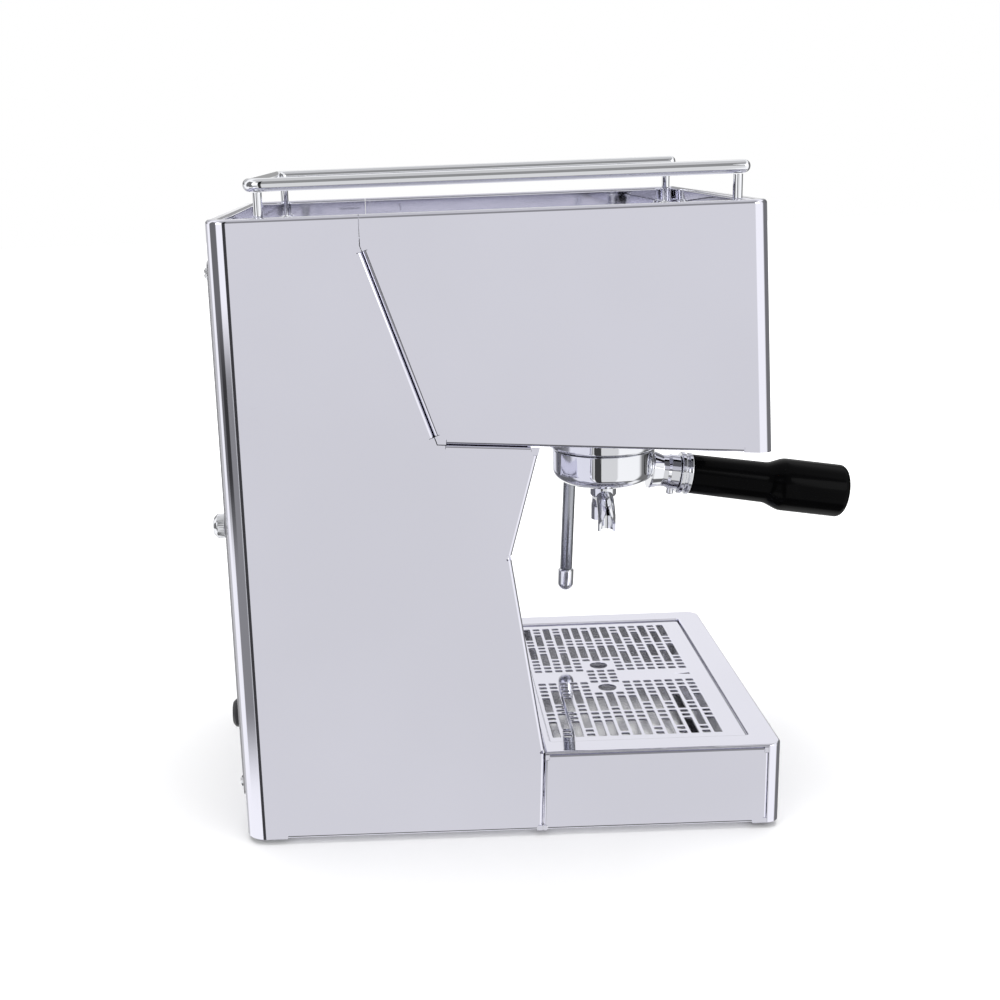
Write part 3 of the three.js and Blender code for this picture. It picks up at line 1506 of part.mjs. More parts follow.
const shaftLow = valveFront - valveLength + play;
const knobShaft = rod(shaftRadius, shaftLow, knobStandOff + knobRounding, smallRoundSteps);
const knob = withoutAll(knobBlank, knobFlutes).add(knobShaft);
addPiece('steam_knob', atFace(knob, knobAcross, knobUp), blackPlastic);

// Boiler standing on the group bell
const boilerLow = bellTop + play;
const boiler = turned([
  [0, boilerLow],
  [bellFlangeRadius, boilerLow],
  [bellFlangeRadius, boilerLow + boilerBelt * 2],
  [boilerRadius, boilerLow + boilerBelt * 2],
  [boilerRadius, boilerHigh - boilerDome],
  [boilerRadius * 2 / 3, boilerHigh - boilerDome / 4],
  [0, boilerHigh],
], roundSteps);
addPiece('boiler', moved(boiler, 0, groupY, 0), brass);

// Vibration pump on the column floor
const pumpLow = floorTop + play;
const pumpMiddle = pumpLow + pumpBlockHeight / 2;
const pumpY = frontOf(pumpDistance);
const acrossRod = (radius, left, right, height, y) => placedBy(
  rod(radius, left, right, smallRoundSteps),
  basis([0, 1, 0], [0, 0, 1], [1, 0, 0], 0, y, height),
);
const pumpBlock = raised(
  rectangle(
    pumpOffset - pumpLength / 4,
    pumpY - pumpBlockWidth / 2,
    pumpOffset + pumpLength / 4,
    pumpY + pumpBlockWidth / 2,
  ),
  pumpLow,
  pumpLow + pumpBlockHeight,
);
const pumpBody = acrossRod(
  pumpBodyRadius,
  pumpOffset - pumpLength / 2,
  pumpOffset + pumpLength / 2,
  pumpMiddle,
  pumpY,
);
const pumpSpigot = acrossRod(
  pumpSpigotRadius,
  pumpOffset - pumpLength / 2 - pumpSpigotLength,
  pumpOffset + pumpLength / 2 + pumpSpigotLength,
  pumpMiddle,
  pumpY,
);
addPiece('pump', joined([pumpBlock, pumpBody, pumpSpigot]), castIron);

// Suction hose from the tank outlet to the pump
const pumpStart = pumpOffset - pumpLength / 2 - pumpSpigotLength - play;
const outletHeight = outletLow - play;
const hoseDrop = outletHeight - hoseRadius * 4;
const suctionHose = bar(hoseRadius, [
  [0, outletY, outletHeight],
  [0, outletY, hoseDrop],
  [pumpStart - hoseRadius * 4, outletY - pipeSwing, (hoseDrop + pumpMiddle) / 2],
  [pumpStart - hoseRadius * 3, pumpY, pumpMiddle],
  [pumpStart, pumpY, pumpMiddle],
], 2 * tubeSteps, tinyRoundSteps);
addPiece('suction_hose', suctionHose, blackRubber);

// The origin is on the table, under the middle of the whole machine with its handle
const extent = new THREE.Box3().setFromObject(machine);
machine.position.y = -(extent.min.y + extent.max.y) / 2;

export default machine;
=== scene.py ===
"""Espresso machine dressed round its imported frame: polished housing, chromed group and wand, black grip.

Forms are worked out in millimetres as arrays of points; piece() turns them into metres and into a mesh.
A place on the side of the machine is given as a distance in front of the rear wall and a height.
"""
import json
import math

import bmesh
import bpy
import numpy as np
from mathutils import Matrix, Vector
from mathutils.geometry import delaunay_2d_cdt


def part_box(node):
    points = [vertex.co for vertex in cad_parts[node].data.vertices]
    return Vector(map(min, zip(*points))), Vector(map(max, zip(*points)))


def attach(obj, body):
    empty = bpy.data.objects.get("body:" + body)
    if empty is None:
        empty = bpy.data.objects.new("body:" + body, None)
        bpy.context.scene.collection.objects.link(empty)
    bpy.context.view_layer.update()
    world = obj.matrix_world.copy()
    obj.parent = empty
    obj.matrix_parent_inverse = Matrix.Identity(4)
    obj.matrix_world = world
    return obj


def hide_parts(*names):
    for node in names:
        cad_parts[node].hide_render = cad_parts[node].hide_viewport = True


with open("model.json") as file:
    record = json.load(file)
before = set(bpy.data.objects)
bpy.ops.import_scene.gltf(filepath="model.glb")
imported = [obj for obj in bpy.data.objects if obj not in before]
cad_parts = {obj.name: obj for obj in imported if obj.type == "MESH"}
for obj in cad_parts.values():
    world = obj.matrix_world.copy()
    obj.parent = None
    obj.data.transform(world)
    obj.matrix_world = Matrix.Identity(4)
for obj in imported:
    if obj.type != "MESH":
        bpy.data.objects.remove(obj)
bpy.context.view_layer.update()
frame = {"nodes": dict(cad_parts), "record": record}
BODY_OF = {
    node: body
    for body, nodes in frame["record"]["behaviour"]["bodies"].items()
    for node in nodes
}

MM = 0.001
WELD = 0.000002
REAR_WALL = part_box("column_shell")[1].y / MM

# Whole machine
HALF_WIDTH = 130.0
RIM_HEIGHT = 409.0
FOOT_HEIGHT = 4.0
SHEET = 1.5
PLAY = 0.3
JOINT_GAP = 0.4

# Side view of the housing
SEAM_TOP_DISTANCE = 92.0
SEAM_FOLD_TOP = 391.0
SEAM_FOOT_DISTANCE = 134.6
SEAM_FOOT_HEIGHT = 268.8
UNDERSIDE_SLOPE = math.tan(math.radians(3.7))
HEAD_FRONT_DISTANCE = 335.0
LEAN_ANGLE = math.radians(2.9)
FRONT_LEAN = math.tan(LEAN_ANGLE)
COLUMN_TOP_DISTANCE = 198.0
WAIST = (179.3, 194.0)
COLUMN_FOOT = (199.2, 60.5)
BASE_JOINT_DISTANCE = 197.4
BASE_FRONT_DISTANCE = 345.6
BODY_DEPTH = 355.0
REAR_OPENING = (-96, 36, 96, 368)
THUMB_NUT_X = 104.0
THUMB_NUT_HEIGHT = 215.0
WAIST_BEND = 5.0

# Folds of the sheet
EDGE_BEND = 2.6
TIGHT_BEND = 1.7
SEAM_FLANGE = 10.0
EDGE_FLANGE = 12.0
REAR_BEND = 14.0
FRONT_BEND = 10.0
NOTCH = 1.3
RELIEF = 0.2
SEAM_TAB = 5.4
TAB = 3.8
SHORT_TAB = 2.8
LAP = 0.6
CORNER_TAB = 19.0
REAR_FOOT_TAB = 28.0
BEND_STEPS = 10
CORNER_STEPS = 20
RIM_BEND = 2.5
RIM_INNER_BEND = 2.0
RIM_WIDTH = 9.0
RIM_SKIRT = 9.0
WALL_TOP = RIM_HEIGHT - RIM_SKIRT
CUP_TRAY_HEIGHT = RIM_HEIGHT - 12.6
LIP_FOOT = CUP_TRAY_HEIGHT + PLAY

# Base and drip tray
FRAME_TOP = 60.1
FRAME_CORNER = 9.0
FOOT_X = 104.0
PAN_HALF_WIDTH = 110.0
PAN_FRONT = 333.0
PAN_REAR = 207.0
APRON_RETURN = 9.35
OPENING_HALF_WIDTH = 113.6
OPENING_REAR = 204.6
OPENING_FRONT = 336.6

# Group, filter holder and wand
GROUP_DISTANCE = 257.0
BELL_DROP = 25.9
WAND_X = 95.0
WAND_DISTANCE = 247.7
WAND_DROP = 11.0


def front_of(distance):
    """Y of a place at this distance in front of the rear wall."""
    return REAR_WALL - distance


def underside(distance):
    """Height of the sloping edge under the head at this distance in front of the rear wall."""
    return SEAM_FOOT_HEIGHT - (distance - SEAM_FOOT_DISTANCE) * UNDERSIDE_SLOPE


BELL_LIP = underside(GROUP_DISTANCE) - BELL_DROP
WAND_HEIGHT = underside(WAND_DISTANCE) - WAND_DROP


def unit(vectors):
    vectors = np.asarray(vectors, float)
    return vectors / np.linalg.norm(vectors, axis=-1, keepdims=True)


def arc(x, y, radius, start, end, steps):
    """Points on a circle from one angle in degrees to another."""
    angle = np.radians(np.linspace(start, end, steps + 1))
    return np.stack([x + radius * np.cos(angle), y + radius * np.sin(angle)], axis=1)


def ring_of(x, y, radius, steps):
    return arc(x, y, radius, 0, 360, steps)[:-1]


def rounded_rectangle(left, low, right, high, radii, steps=6):
    """Rectangle with a quarter circle at each corner, anticlockwise from the low left one."""
    a, b, c, d = np.broadcast_to(radii, 4)
    return np.concatenate([
        arc(left + a, low + a, a, 180, 270, steps),
        arc(right - b, low + b, b, 270, 360, steps),
        arc(right - c, high - c, c, 0, 90, steps),
        arc(left + d, high - d, d, 90, 180, steps),
    ])


def grown(outline, amount):
    """Anticlockwise outline with each side moved out by one amount; corners slide along their mitres."""
    before = unit(outline - np.roll(outline, 1, axis=0))
    after = unit(np.roll(outline, -1, axis=0) - outline)
    turn = np.array([[0.0, -1.0], [1.0, 0.0]])
    first, second = before @ turn, after @ turn
    reach = 1.0 + np.sum(first * second, axis=1, keepdims=True)
    return outline + amount * (first + second) / reach


def softened(corners, radii, steps=5, lead=0.25):
    """Line whose inner corners become arcs that touch both sides, with a short straight lead on each side."""
    corners = np.asarray(corners, float)
    radii = np.broadcast_to(radii, len(corners) - 2)
    line = [corners[:1]]
    for before, corner, after, radius in zip(corners, corners[1:], corners[2:], radii):
        if radius == 0:
            line.append(corner[None])
            continue
        back, on = unit(before - corner), unit(after - corner)
        half = math.acos(max(-1.0, min(1.0, float(back @ on)))) / 2
        room = 0.42 * min(np.linalg.norm(before - corner), np.linalg.norm(after - corner))
        reach = min(radius / math.tan(half), room)
        bend = reach * math.tan(half)
        centre = corner + unit(back + on) * bend / math.sin(half)
        start, end = corner + back * reach - centre, corner + on * reach - centre
        sweep = math.atan2(start[0] * end[1] - start[1] * end[0], start @ end)
        angle = math.atan2(start[1], start[0]) + np.linspace(0, sweep, steps + 1)
        curve = centre + bend * np.stack([np.cos(angle), np.sin(angle)], axis=1)
        line += [(corner + back * reach * (1 + lead))[None], curve, (corner + on * reach * (1 + lead))[None]]
    return np.concatenate([*line, corners[-1:]])


def basis(first, second, third, origin=(0, 0, 0)):
    matrix = np.eye(4)
    matrix[:3, 0], matrix[:3, 1], matrix[:3, 2], matrix[:3, 3] = first, second, third, origin
    return matrix


def placed(points, matrix):
    """Points carried by a frame, a matrix whose columns are its axes and its origin."""
    return points @ matrix[:3, :3].T + matrix[:3, 3]


def upright(x, y, z=0.0):
    return basis((1, 0, 0), (0, 1, 0), (0, 0, 1), (x, y, z))


def turn_x(degrees):
    angle = math.radians(degrees)
    return basis((1, 0, 0), (0, math.cos(angle), math.sin(angle)), (0, -math.sin(angle), math.cos(angle)))


class Skin:
    """Closed surface gathered patch by patch; patches that meet share their points and are welded."""

    def __init__(self):
        self.points = []
        self.faces = []
        self.total = 0

    def add(self, points, faces):
        points = np.asarray(points, float).reshape(-1, 3)
        self.faces += [[corner + self.total for corner in face] for face in faces]
        self.points.append(points)
        self.total += len(points)
        return self

    def grid(self, points, round_rows=False, round_columns=False):
        """Four-sided faces over a grid of points; a round direction joins its last line to its first."""
        rows, columns = points.shape[:2]
        index = np.arange(rows * columns).reshape(rows, columns)
        if round_rows:
            index = np.vstack([index, index[:1]])
        if round_columns:
            index = np.hstack([index, index[:, :1]])
        quads = np.stack([index[:-1, :-1], index[:-1, 1:], index[1:, 1:], index[1:, :-1]], axis=-1)
        return self.add(points, quads.reshape(-1, 4).tolist())

    def face(self, points):
        return self.add(points, [range(len(points))])

    def flat(self, outline, holes, place):
        """Triangles that fill a flat outline round its rounded holes; place carries (a, b) points into space.
        A triangle whose three corners lie on one and the same hole covers that hole, and is left out."""
        rings = [np.asarray(ring) for ring in (outline, *holes)]
        owner = np.concatenate([np.full(len(ring), number) for number, ring in enumerate(rings)])
        edges, start = [], 0
        for ring in rings:
            own = start + np.arange(len(ring))
            edges += np.stack([own, np.roll(own, -1)], axis=1).tolist()
            start += len(ring)
        corners = [Vector(corner) for corner in np.concatenate(rings).tolist()]
        spots, _, triangles, sources, _, _ = delaunay_2d_cdt(corners, edges, [], 1, 1e-6)
        owned = owner[[source[0] if source else 0 for source in sources]][np.array(triangles)]
        covers = (owned[:, 0] > 0) & (owned[:, 0] == owned[:, 1]) & (owned[:, 1] == owned[:, 2])
        return self.add(place(np.array([spot[:] for spot in spots])), np.array(triangles)[~covers].tolist())

    def mirrored(self):
        """Adds the other half, mirrored across the middle plane of the machine."""
        return self.add(np.concatenate(self.points) * (-1, 1, 1), [face[::-1] for face in self.faces])


def slab(skin, outline, holes, place, low, high, rounding=0.25, steps=3, lead=0.15):
    """Flat sheet with rounded edges: its walls are rings of the outline drawn in towards both faces, where
    one more level ring keeps the shading of the rounding off the flat faces.
    place(points, height) carries flat points and a height into space."""
    turn = np.radians(np.linspace(0, 90, steps + 1))
    draw = rounding * (1 - np.sin(turn))
    rise = rounding * (1 - np.cos(turn))
    flat_from = rounding + lead
    levels = [(flat_from, low), *zip(draw, low + rise), *zip(draw[::-1], high - rise[::-1]),
              (flat_from, high)]
    for ring, way in [(outline, -1), *((hole, 1) for hole in holes)]:
        skin.grid(np.stack([place(grown(ring, way * inset), height) for inset, height in levels]),
                  round_columns=True)
    for height in (low, high):
        skin.flat(grown(outline, -flat_from), [grown(hole, flat_from) for hole in holes],
                  lambda flat, height=height: place(flat, height))
    return skin


def level_place(points, height):
    return np.column_stack([points, np.full(len(points), height)])


def rings(skin, outline, levels, place=level_place):
    """Wall through one closed ring for each (inset, height); outline(inset) gives the flat ring."""
    wall = np.stack([place(outline(inset), height) for inset, height in levels])
    return skin.grid(wall, round_columns=True)


def vessel(outline, levels, place=level_place):
    """Closed form: a wall through one ring for each (inset, height), and flat ends at first and last."""
    skin = rings(Skin(), outline, levels, place)
    for inset, height in (levels[0], levels[-1]):
        skin.flat(outline(inset), [], lambda flat, height=height: place(flat, height))
    return skin


def framed(at):
    """Gives the function that carries flat points and a height above them into a frame."""
    return lambda points, height: placed(level_place(points, height), at)


def cross_plane(y):
    """Gives the function that stands (x, height) points across the machine at this Y plus a depth."""
    def place(points, depth):
        return np.column_stack([points[:, 0], np.full(len(points), y + depth), points[:, 1]])
    return place


def full_turn(steps):
    return np.linspace(0, 2 * np.pi, steps, endpoint=False)


def turned(skin, profile, steps, at, closed=False, radii=None):
    """Turned form: a profile of radius and height carried round the axis. Knurls, slots and flutes come from
    radii, which gives each point of the profile a radius of its own at each step."""
    radius, height = np.asarray(profile, float).T
    angle = full_turn(steps)
    radius = np.outer(radius, np.ones(steps)) if radii is None else radii
    heights = np.outer(height, np.ones(steps))
    points = np.stack([radius * np.cos(angle), radius * np.sin(angle), heights], axis=-1)
    return skin.grid(placed(points, at), round_rows=closed, round_columns=True)


def swept(skin, sections, path, up=(0, 0, 1)):
    """Closed section of (across, up) points carried square to a path, with both ends filled. Sections may
    differ along the path."""
    path = np.asarray(path, float)
    sections = np.broadcast_to(sections, (len(path), *np.shape(sections)[-2:]))
    way = unit(np.gradient(path, axis=0))
    across = unit(np.cross(way, up))
    above = np.cross(across, way)
    points = path[:, None] + sections[..., :1] * across[:, None] + sections[..., 1:] * above[:, None]
    return skin.grid(points, round_columns=True).face(points[0][::-1]).face(points[-1])


def smooth_path(points, count):
    """Even points on a smooth curve through a few given ones: between two of them a cubic, whose slope at
    each is half the way from the point before it to the point after it."""
    points = np.asarray(points, float)
    padded = np.vstack([2 * points[0] - points[1], points, 2 * points[-1] - points[-2]])
    spans = len(points) - 1
    place = np.linspace(0, spans, count)
    index = np.minimum(place.astype(int), spans - 1)
    t = (place - index)[:, None]
    a, b, c, d = (padded[index + shift] for shift in range(4))
    return 0.5 * (2 * b + (c - a) * t + (2 * a - 5 * b + 4 * c - d) * t**2 + (3 * b - a - 3 * c + d) * t**3)


class Tree:
    """Short hand for building a node tree: a value given to a socket is a link or a plain number."""

    def __init__(self, tree):
        self.tree = tree
        self.place = 0

    def add(self, kind, inputs=(), **settings):
        node = self.tree.nodes.new(kind)
        self.place += 180
        node.location = (self.place, 0)
        for key, value in settings.items():
            setattr(node, key, value)
        for key, value in dict(inputs).items():
            self.set(node.inputs[key], value)
        return node

    def set(self, socket, value):
        if isinstance(value, bpy.types.NodeSocket):
            self.tree.links.new(value, socket)
        else:
            socket.default_value = value

    def math(self, operation, first, second=0.0, clamp=False):
        node = self.add("ShaderNodeMath", {0: first, 1: second}, operation=operation, use_clamp=clamp)
        return node.outputs[0]

    def blend(self, factor, first, second):
        node = self.add("ShaderNodeMix", {"Factor": factor, "A": first, "B": second})
        return node.outputs["Result"]

    def colours(self, factor, first, second):
        node = self.add("ShaderNodeMix", {0: factor, 6: first, 7: second}, data_type="RGBA")
        return node.outputs[2]

    def noise(self, place, scale, detail=2.0, roughness=0.5, stretch=(1, 1, 1), turn=(0, 0, 0)):
        turned_place = self.add("ShaderNodeMapping", {"Vector": place, "Scale": stretch, "Rotation": turn})
        node = self.add("ShaderNodeTexNoise", {
            "Vector": turned_place.outputs[0], "Scale": scale, "Detail": detail, "Roughness": roughness})
        return node.outputs["Fac"]

    def ramp(self, factor, low, high):
        node = self.add("ShaderNodeMapRange", {"Value": factor, "From Min": low, "From Max": high},
                        interpolation_type="SMOOTHSTEP")
        return node.outputs["Result"]


def fresh_tree(owner):
    """Emptied node tree of a material or a world."""
    owner.use_nodes = True
    owner.node_tree.nodes.clear()
    return Tree(owner.node_tree)


def effect(name, inputs, outputs):
    """New node group with named float or vector inputs and outputs."""
    group = bpy.data.node_groups.new(name, "ShaderNodeTree")
    for label, kind, value in inputs:
        socket = group.interface.new_socket(name=label, in_out="INPUT", socket_type=kind)
        if value is not None:
            socket.default_value = value
    for label, kind in outputs:
        group.interface.new_socket(name=label, in_out="OUTPUT", socket_type=kind)
    tree = Tree(group)
    return group, tree, tree.add("NodeGroupInput"), tree.add("NodeGroupOutput")


FLOAT, VECTOR = "NodeSocketFloat", "NodeSocketVector"


def make_edge_wear():
    """Mask of outer edges: where a rounded normal leaves the true one, broken up by noise."""
    group, tree, given, out = effect(
        "edge_wear", [("Place", VECTOR, None), ("Width", FLOAT, 0.0006), ("Break Up", FLOAT, 90.0)],
        [("Mask", FLOAT)])
    rounded = tree.add("ShaderNodeBevel", {"Radius": given.outputs["Width"]}, samples=4)
    true = tree.add("ShaderNodeNewGeometry")
    alike = tree.add("ShaderNodeVectorMath", {0: rounded.outputs[0], 1: true.outputs["Normal"]},
                     operation="DOT_PRODUCT")
    edge = tree.ramp(tree.math("SUBTRACT", 1.0, alike.outputs["Value"]), 0.01, 0.16)
    patchy = tree.noise(given.outputs["Place"], given.outputs["Break Up"], 3.0)
    tree.set(out.inputs["Mask"], tree.math("MULTIPLY", edge, tree.ramp(patchy, 0.3, 0.62)))
    return group


def make_scratches():
    """Fine hairlines in three directions, each a noise drawn out lengthwise, and the haze they leave."""
    group, tree, given, out = effect(
        "hairlines", [("Place", VECTOR, None), ("Scale", FLOAT, 60.0)], [("Mask", FLOAT), ("Haze", FLOAT)])
    total = None
    for turn, stretch in (
        ((0.3, 0.2, 0.5), (1, 30, 30)), ((1.1, 0.7, 2.0), (28, 1, 28)), ((2.0, 1.4, 0.9), (32, 32, 1)),
    ):
        streaks = tree.noise(given.outputs["Place"], given.outputs["Scale"], 1.0, 0.5, stretch, turn)
        line = tree.ramp(streaks, 0.69, 0.78)
        total = line if total is None else tree.math("MAXIMUM", total, line)
    haze = tree.ramp(tree.noise(given.outputs["Place"], 9.0, 4.0, 0.6), 0.35, 0.72)
    tree.set(out.inputs["Mask"], tree.math("MULTIPLY", total, tree.math("ADD", haze, 0.25)))
    tree.set(out.inputs["Haze"], haze)
    return group


def make_grain():
    """Brushed grain: noise drawn out strongly along one axis of the object, fine over coarse."""
    group, tree, given, out = effect(
        "grain", [("Place", VECTOR, None), ("Stretch", VECTOR, (6.0, 400.0, 400.0))],
        [("Height", FLOAT), ("Shade", FLOAT)])
    drawn = tree.add("ShaderNodeVectorMath", {0: given.outputs["Place"], 1: given.outputs["Stretch"]},
                     operation="MULTIPLY").outputs[0]
    fine = tree.noise(drawn, 7.0, 3.0, 0.65)
    coarse = tree.noise(drawn, 1.6, 2.0)
    tree.set(out.inputs["Height"], fine)
    tree.set(out.inputs["Shade"], tree.math("MULTIPLY", fine, coarse))
    return group


def make_mould_texture():
    """Matt texture of moulded plastic and rubber: small rounded pits over a soft unevenness."""
    group, tree, given, out = effect(
        "mould_texture", [("Place", VECTOR, None), ("Scale", FLOAT, 900.0)],
        [("Height", FLOAT), ("Dust", FLOAT)])
    pits = tree.noise(given.outputs["Place"], given.outputs["Scale"], 2.0, 0.6)
    swell = tree.noise(given.outputs["Place"], 22.0, 3.0)
    tree.set(out.inputs["Height"], tree.math("ADD", tree.math("MULTIPLY", pits, 0.5), swell))
    tree.set(out.inputs["Dust"], tree.ramp(tree.noise(given.outputs["Place"], 14.0, 5.0, 0.7), 0.45, 0.8))
    return group


EDGE_WEAR = make_edge_wear()
HAIRLINES = make_scratches()
GRAIN = make_grain()
MOULD = make_mould_texture()
finishes = {}


def finish(name):
    """New material with a Principled shader; returns its tree, the shader and its Object coordinates."""
    material = bpy.data.materials.new(name)
    tree = fresh_tree(material)
    place = tree.add("ShaderNodeTexCoord").outputs["Object"]
    shader = tree.add("ShaderNodeBsdfPrincipled")
    tree.add("ShaderNodeOutputMaterial", {"Surface": shader.outputs[0]})
    finishes[name] = material
    return tree, shader, place


def use(tree, group, **inputs):
    node = tree.add("ShaderNodeGroup", node_tree=group)
    for key, value in inputs.items():
        tree.set(node.inputs[key.replace("_", " ")], value)
    return node.outputs


def bump(tree, shader, heights):
    """Bump nodes in a row, one for each (height, depth in metres)."""
    normal = None
    for height, depth in heights:
        node = tree.add("ShaderNodeBump", {"Height": height, "Distance": depth, "Strength": 1.0})
        if normal is not None:
            tree.set(node.inputs["Normal"], normal)
        normal = node.outputs["Normal"]
    tree.set(shader.inputs["Normal"], normal)


def mirror_metal(name, light, dark, low_rough, high_rough, wave=0.00004):
    """Polished or plated metal: soft clouding, hairlines in the polish, slight waviness and rubbed edges."""
    tree, shader, place = finish(name)
    marks = use(tree, HAIRLINES, Place=place)
    worn = use(tree, EDGE_WEAR, Place=place, Width=0.0005)
    cloud = tree.noise(place, 5.0, 3.0)
    tree.set(shader.inputs["Base Color"], tree.colours(tree.ramp(cloud, 0.3, 0.7), dark, light))
    shader.inputs["Metallic"].default_value = 1.0
    rough = tree.blend(marks["Haze"], low_rough, high_rough)
    rough = tree.math("ADD", rough, tree.math("MULTIPLY", marks["Mask"], 0.1))
    rough = tree.math("ADD", rough, tree.math("MULTIPLY", worn["Mask"], 0.06))
    tree.set(shader.inputs["Roughness"], rough)
    bump(tree, shader, [(tree.noise(place, 11.0, 1.0), wave), (marks["Mask"], 0.000001)])


def brushed_metal(name, light, dark, stretch, rough):
    """Metal with a drawn grain that varies its colour, gloss and relief along one direction."""
    tree, shader, place = finish(name)
    grain = use(tree, GRAIN, Place=place, Stretch=stretch)
    worn = use(tree, EDGE_WEAR, Place=place, Width=0.0006)
    tone = tree.math("ADD", grain["Shade"], tree.math("MULTIPLY", worn["Mask"], 0.35), clamp=True)
    tree.set(shader.inputs["Base Color"], tree.colours(tone, dark, light))
    shader.inputs["Metallic"].default_value = 1.0
    tree.set(shader.inputs["Roughness"], tree.blend(grain["Height"], rough - 0.09, rough + 0.12))
    bump(tree, shader, [(grain["Height"], 0.000006)])


def moulded(name, light, dark, rough, depth=0.000004, scale=900.0, dust=0.06):
    """Moulded plastic or rubber: fine pits, uneven gloss, paler rubbed edges and a trace of dust."""
    tree, shader, place = finish(name)
    texture = use(tree, MOULD, Place=place, Scale=scale)
    worn = use(tree, EDGE_WEAR, Place=place, Width=0.0007)
    tone = tree.math("ADD", tree.math("MULTIPLY", texture["Dust"], dust * 4),
                     tree.math("MULTIPLY", worn["Mask"], 0.35), clamp=True)
    tree.set(shader.inputs["Base Color"], tree.colours(tone, dark, light))
    tree.set(shader.inputs["Roughness"], tree.blend(texture["Dust"], rough, rough + dust))
    bump(tree, shader, [(texture["Height"], depth)])
    return shader


def rgb(red, green, blue):
    return (red, green, blue, 1.0)


mirror_metal("polished_steel", rgb(0.785, 0.782, 0.87), rgb(0.755, 0.752, 0.835), 0.03, 0.08)
mirror_metal("chrome", rgb(0.84, 0.85, 0.88), rgb(0.78, 0.79, 0.825), 0.02, 0.05, 0.00001)
# Lighter, glossier copy of the satin steel for the drip pan, set in the slots as satin steel: its lighter
# colour is painted light that brightens the pan lying in shade under the grille.
mirror_metal("pan_steel_painted_light", rgb(0.82, 0.82, 0.84), rgb(0.74, 0.74, 0.76), 0.12, 0.24)
# Darker copy of the polished steel, set in the slots as polished steel: its dark tone is painted shade and
# reflection, standing in for the dark surroundings that the wand mirrors.
brushed_metal("wand_steel_painted_dark", rgb(0.50, 0.515, 0.55), rgb(0.34, 0.35, 0.385), (500.0, 500.0, 8.0), 0.22)
brushed_metal("satin_steel", rgb(0.72, 0.72, 0.74), rgb(0.52, 0.52, 0.545), (400.0, 400.0, 5.0), 0.3)
brushed_metal("brass", rgb(0.72, 0.50, 0.20), rgb(0.42, 0.27, 0.10), (60.0, 60.0, 300.0), 0.32)
black_plastic = moulded("black_plastic", rgb(0.012, 0.012, 0.013), rgb(0.0012, 0.0012, 0.0014), 0.16,
                        0.000002, dust=0.04)
black_plastic.inputs["Specular IOR Level"].default_value = 0.045
moulded("grey_plastic", rgb(0.10, 0.10, 0.108), rgb(0.03, 0.03, 0.034), 0.38)
moulded("tank_plastic", rgb(0.78, 0.80, 0.81), rgb(0.64, 0.665, 0.68), 0.28)
moulded("black_rubber", rgb(0.06, 0.06, 0.06), rgb(0.016, 0.016, 0.016), 0.62, 0.00001, 500.0, 0.12)
cast_metal = moulded("cast_metal", rgb(0.16, 0.165, 0.175), rgb(0.05, 0.052, 0.058), 0.5, 0.00005, 260.0, 0.1)
cast_metal.inputs["Metallic"].default_value = 0.7
moulded("dial_white", rgb(0.86, 0.85, 0.82), rgb(0.80, 0.79, 0.755), 0.42)
moulded("needle_red", rgb(0.62, 0.05, 0.035), rgb(0.42, 0.022, 0.018), 0.3)
moulded("print_black", rgb(0.05, 0.05, 0.05), rgb(0.012, 0.012, 0.012), 0.5)
moulded("print_white", rgb(0.88, 0.88, 0.88), rgb(0.72, 0.72, 0.72), 0.45)
amber = moulded("lamp_orange", rgb(0.95, 0.40, 0.08), rgb(0.72, 0.20, 0.02), 0.12)
amber.inputs["Coat Weight"].default_value = 0.5


def make_galvanised():
    """Zinc coat: flat crystals of unlike shade and gloss, from cells of a Voronoi pattern."""
    tree, shader, place = finish("galvanised_steel")
    cells = tree.add("ShaderNodeTexVoronoi", {"Vector": place, "Scale": 110.0, "Randomness": 1.0})
    shade = tree.add("ShaderNodeSeparateColor", {"Color": cells.outputs["Color"]})
    tree.set(shader.inputs["Base Color"],
             tree.colours(shade.outputs[0], rgb(0.34, 0.355, 0.37), rgb(0.55, 0.565, 0.58)))
    shader.inputs["Metallic"].default_value = 0.9
    tree.set(shader.inputs["Roughness"], tree.blend(shade.outputs[1], 0.34, 0.6))
    bump(tree, shader, [(shade.outputs[2], 0.000008)])


def make_glass():
    """Flat cover glass: clear, with a faint greasy haze in its gloss."""
    tree, shader, place = finish("clear_glass")
    marks = use(tree, HAIRLINES, Place=place)
    tree.set(shader.inputs["Base Color"],
             tree.colours(marks["Haze"], rgb(0.97, 0.99, 0.985), rgb(0.94, 0.97, 0.965)))
    shader.inputs["Transmission Weight"].default_value = 1.0
    shader.inputs["IOR"].default_value = 1.46
    tree.set(shader.inputs["Roughness"], tree.blend(marks["Haze"], 0.0, 0.03))


make_galvanised()
make_glass()

SLOTS = {
    "polished_steel", "satin_steel", "chrome", "galvanised_steel", "brass", "cast_metal", "black_plastic",
    "grey_plastic", "tank_plastic", "black_rubber", "dial_white", "clear_glass", "lamp_orange", "needle_red",
}
SLOT_FOR = {"print_black": "black_plastic", "print_white": "dial_white", "wand_steel_painted_dark": "polished_steel",
            "pan_steel_painted_light": "satin_steel"}


def added(name, data):
    """New object in the scene."""
    made = bpy.data.objects.new(name, data)
    bpy.context.scene.collection.objects.link(made)
    return made


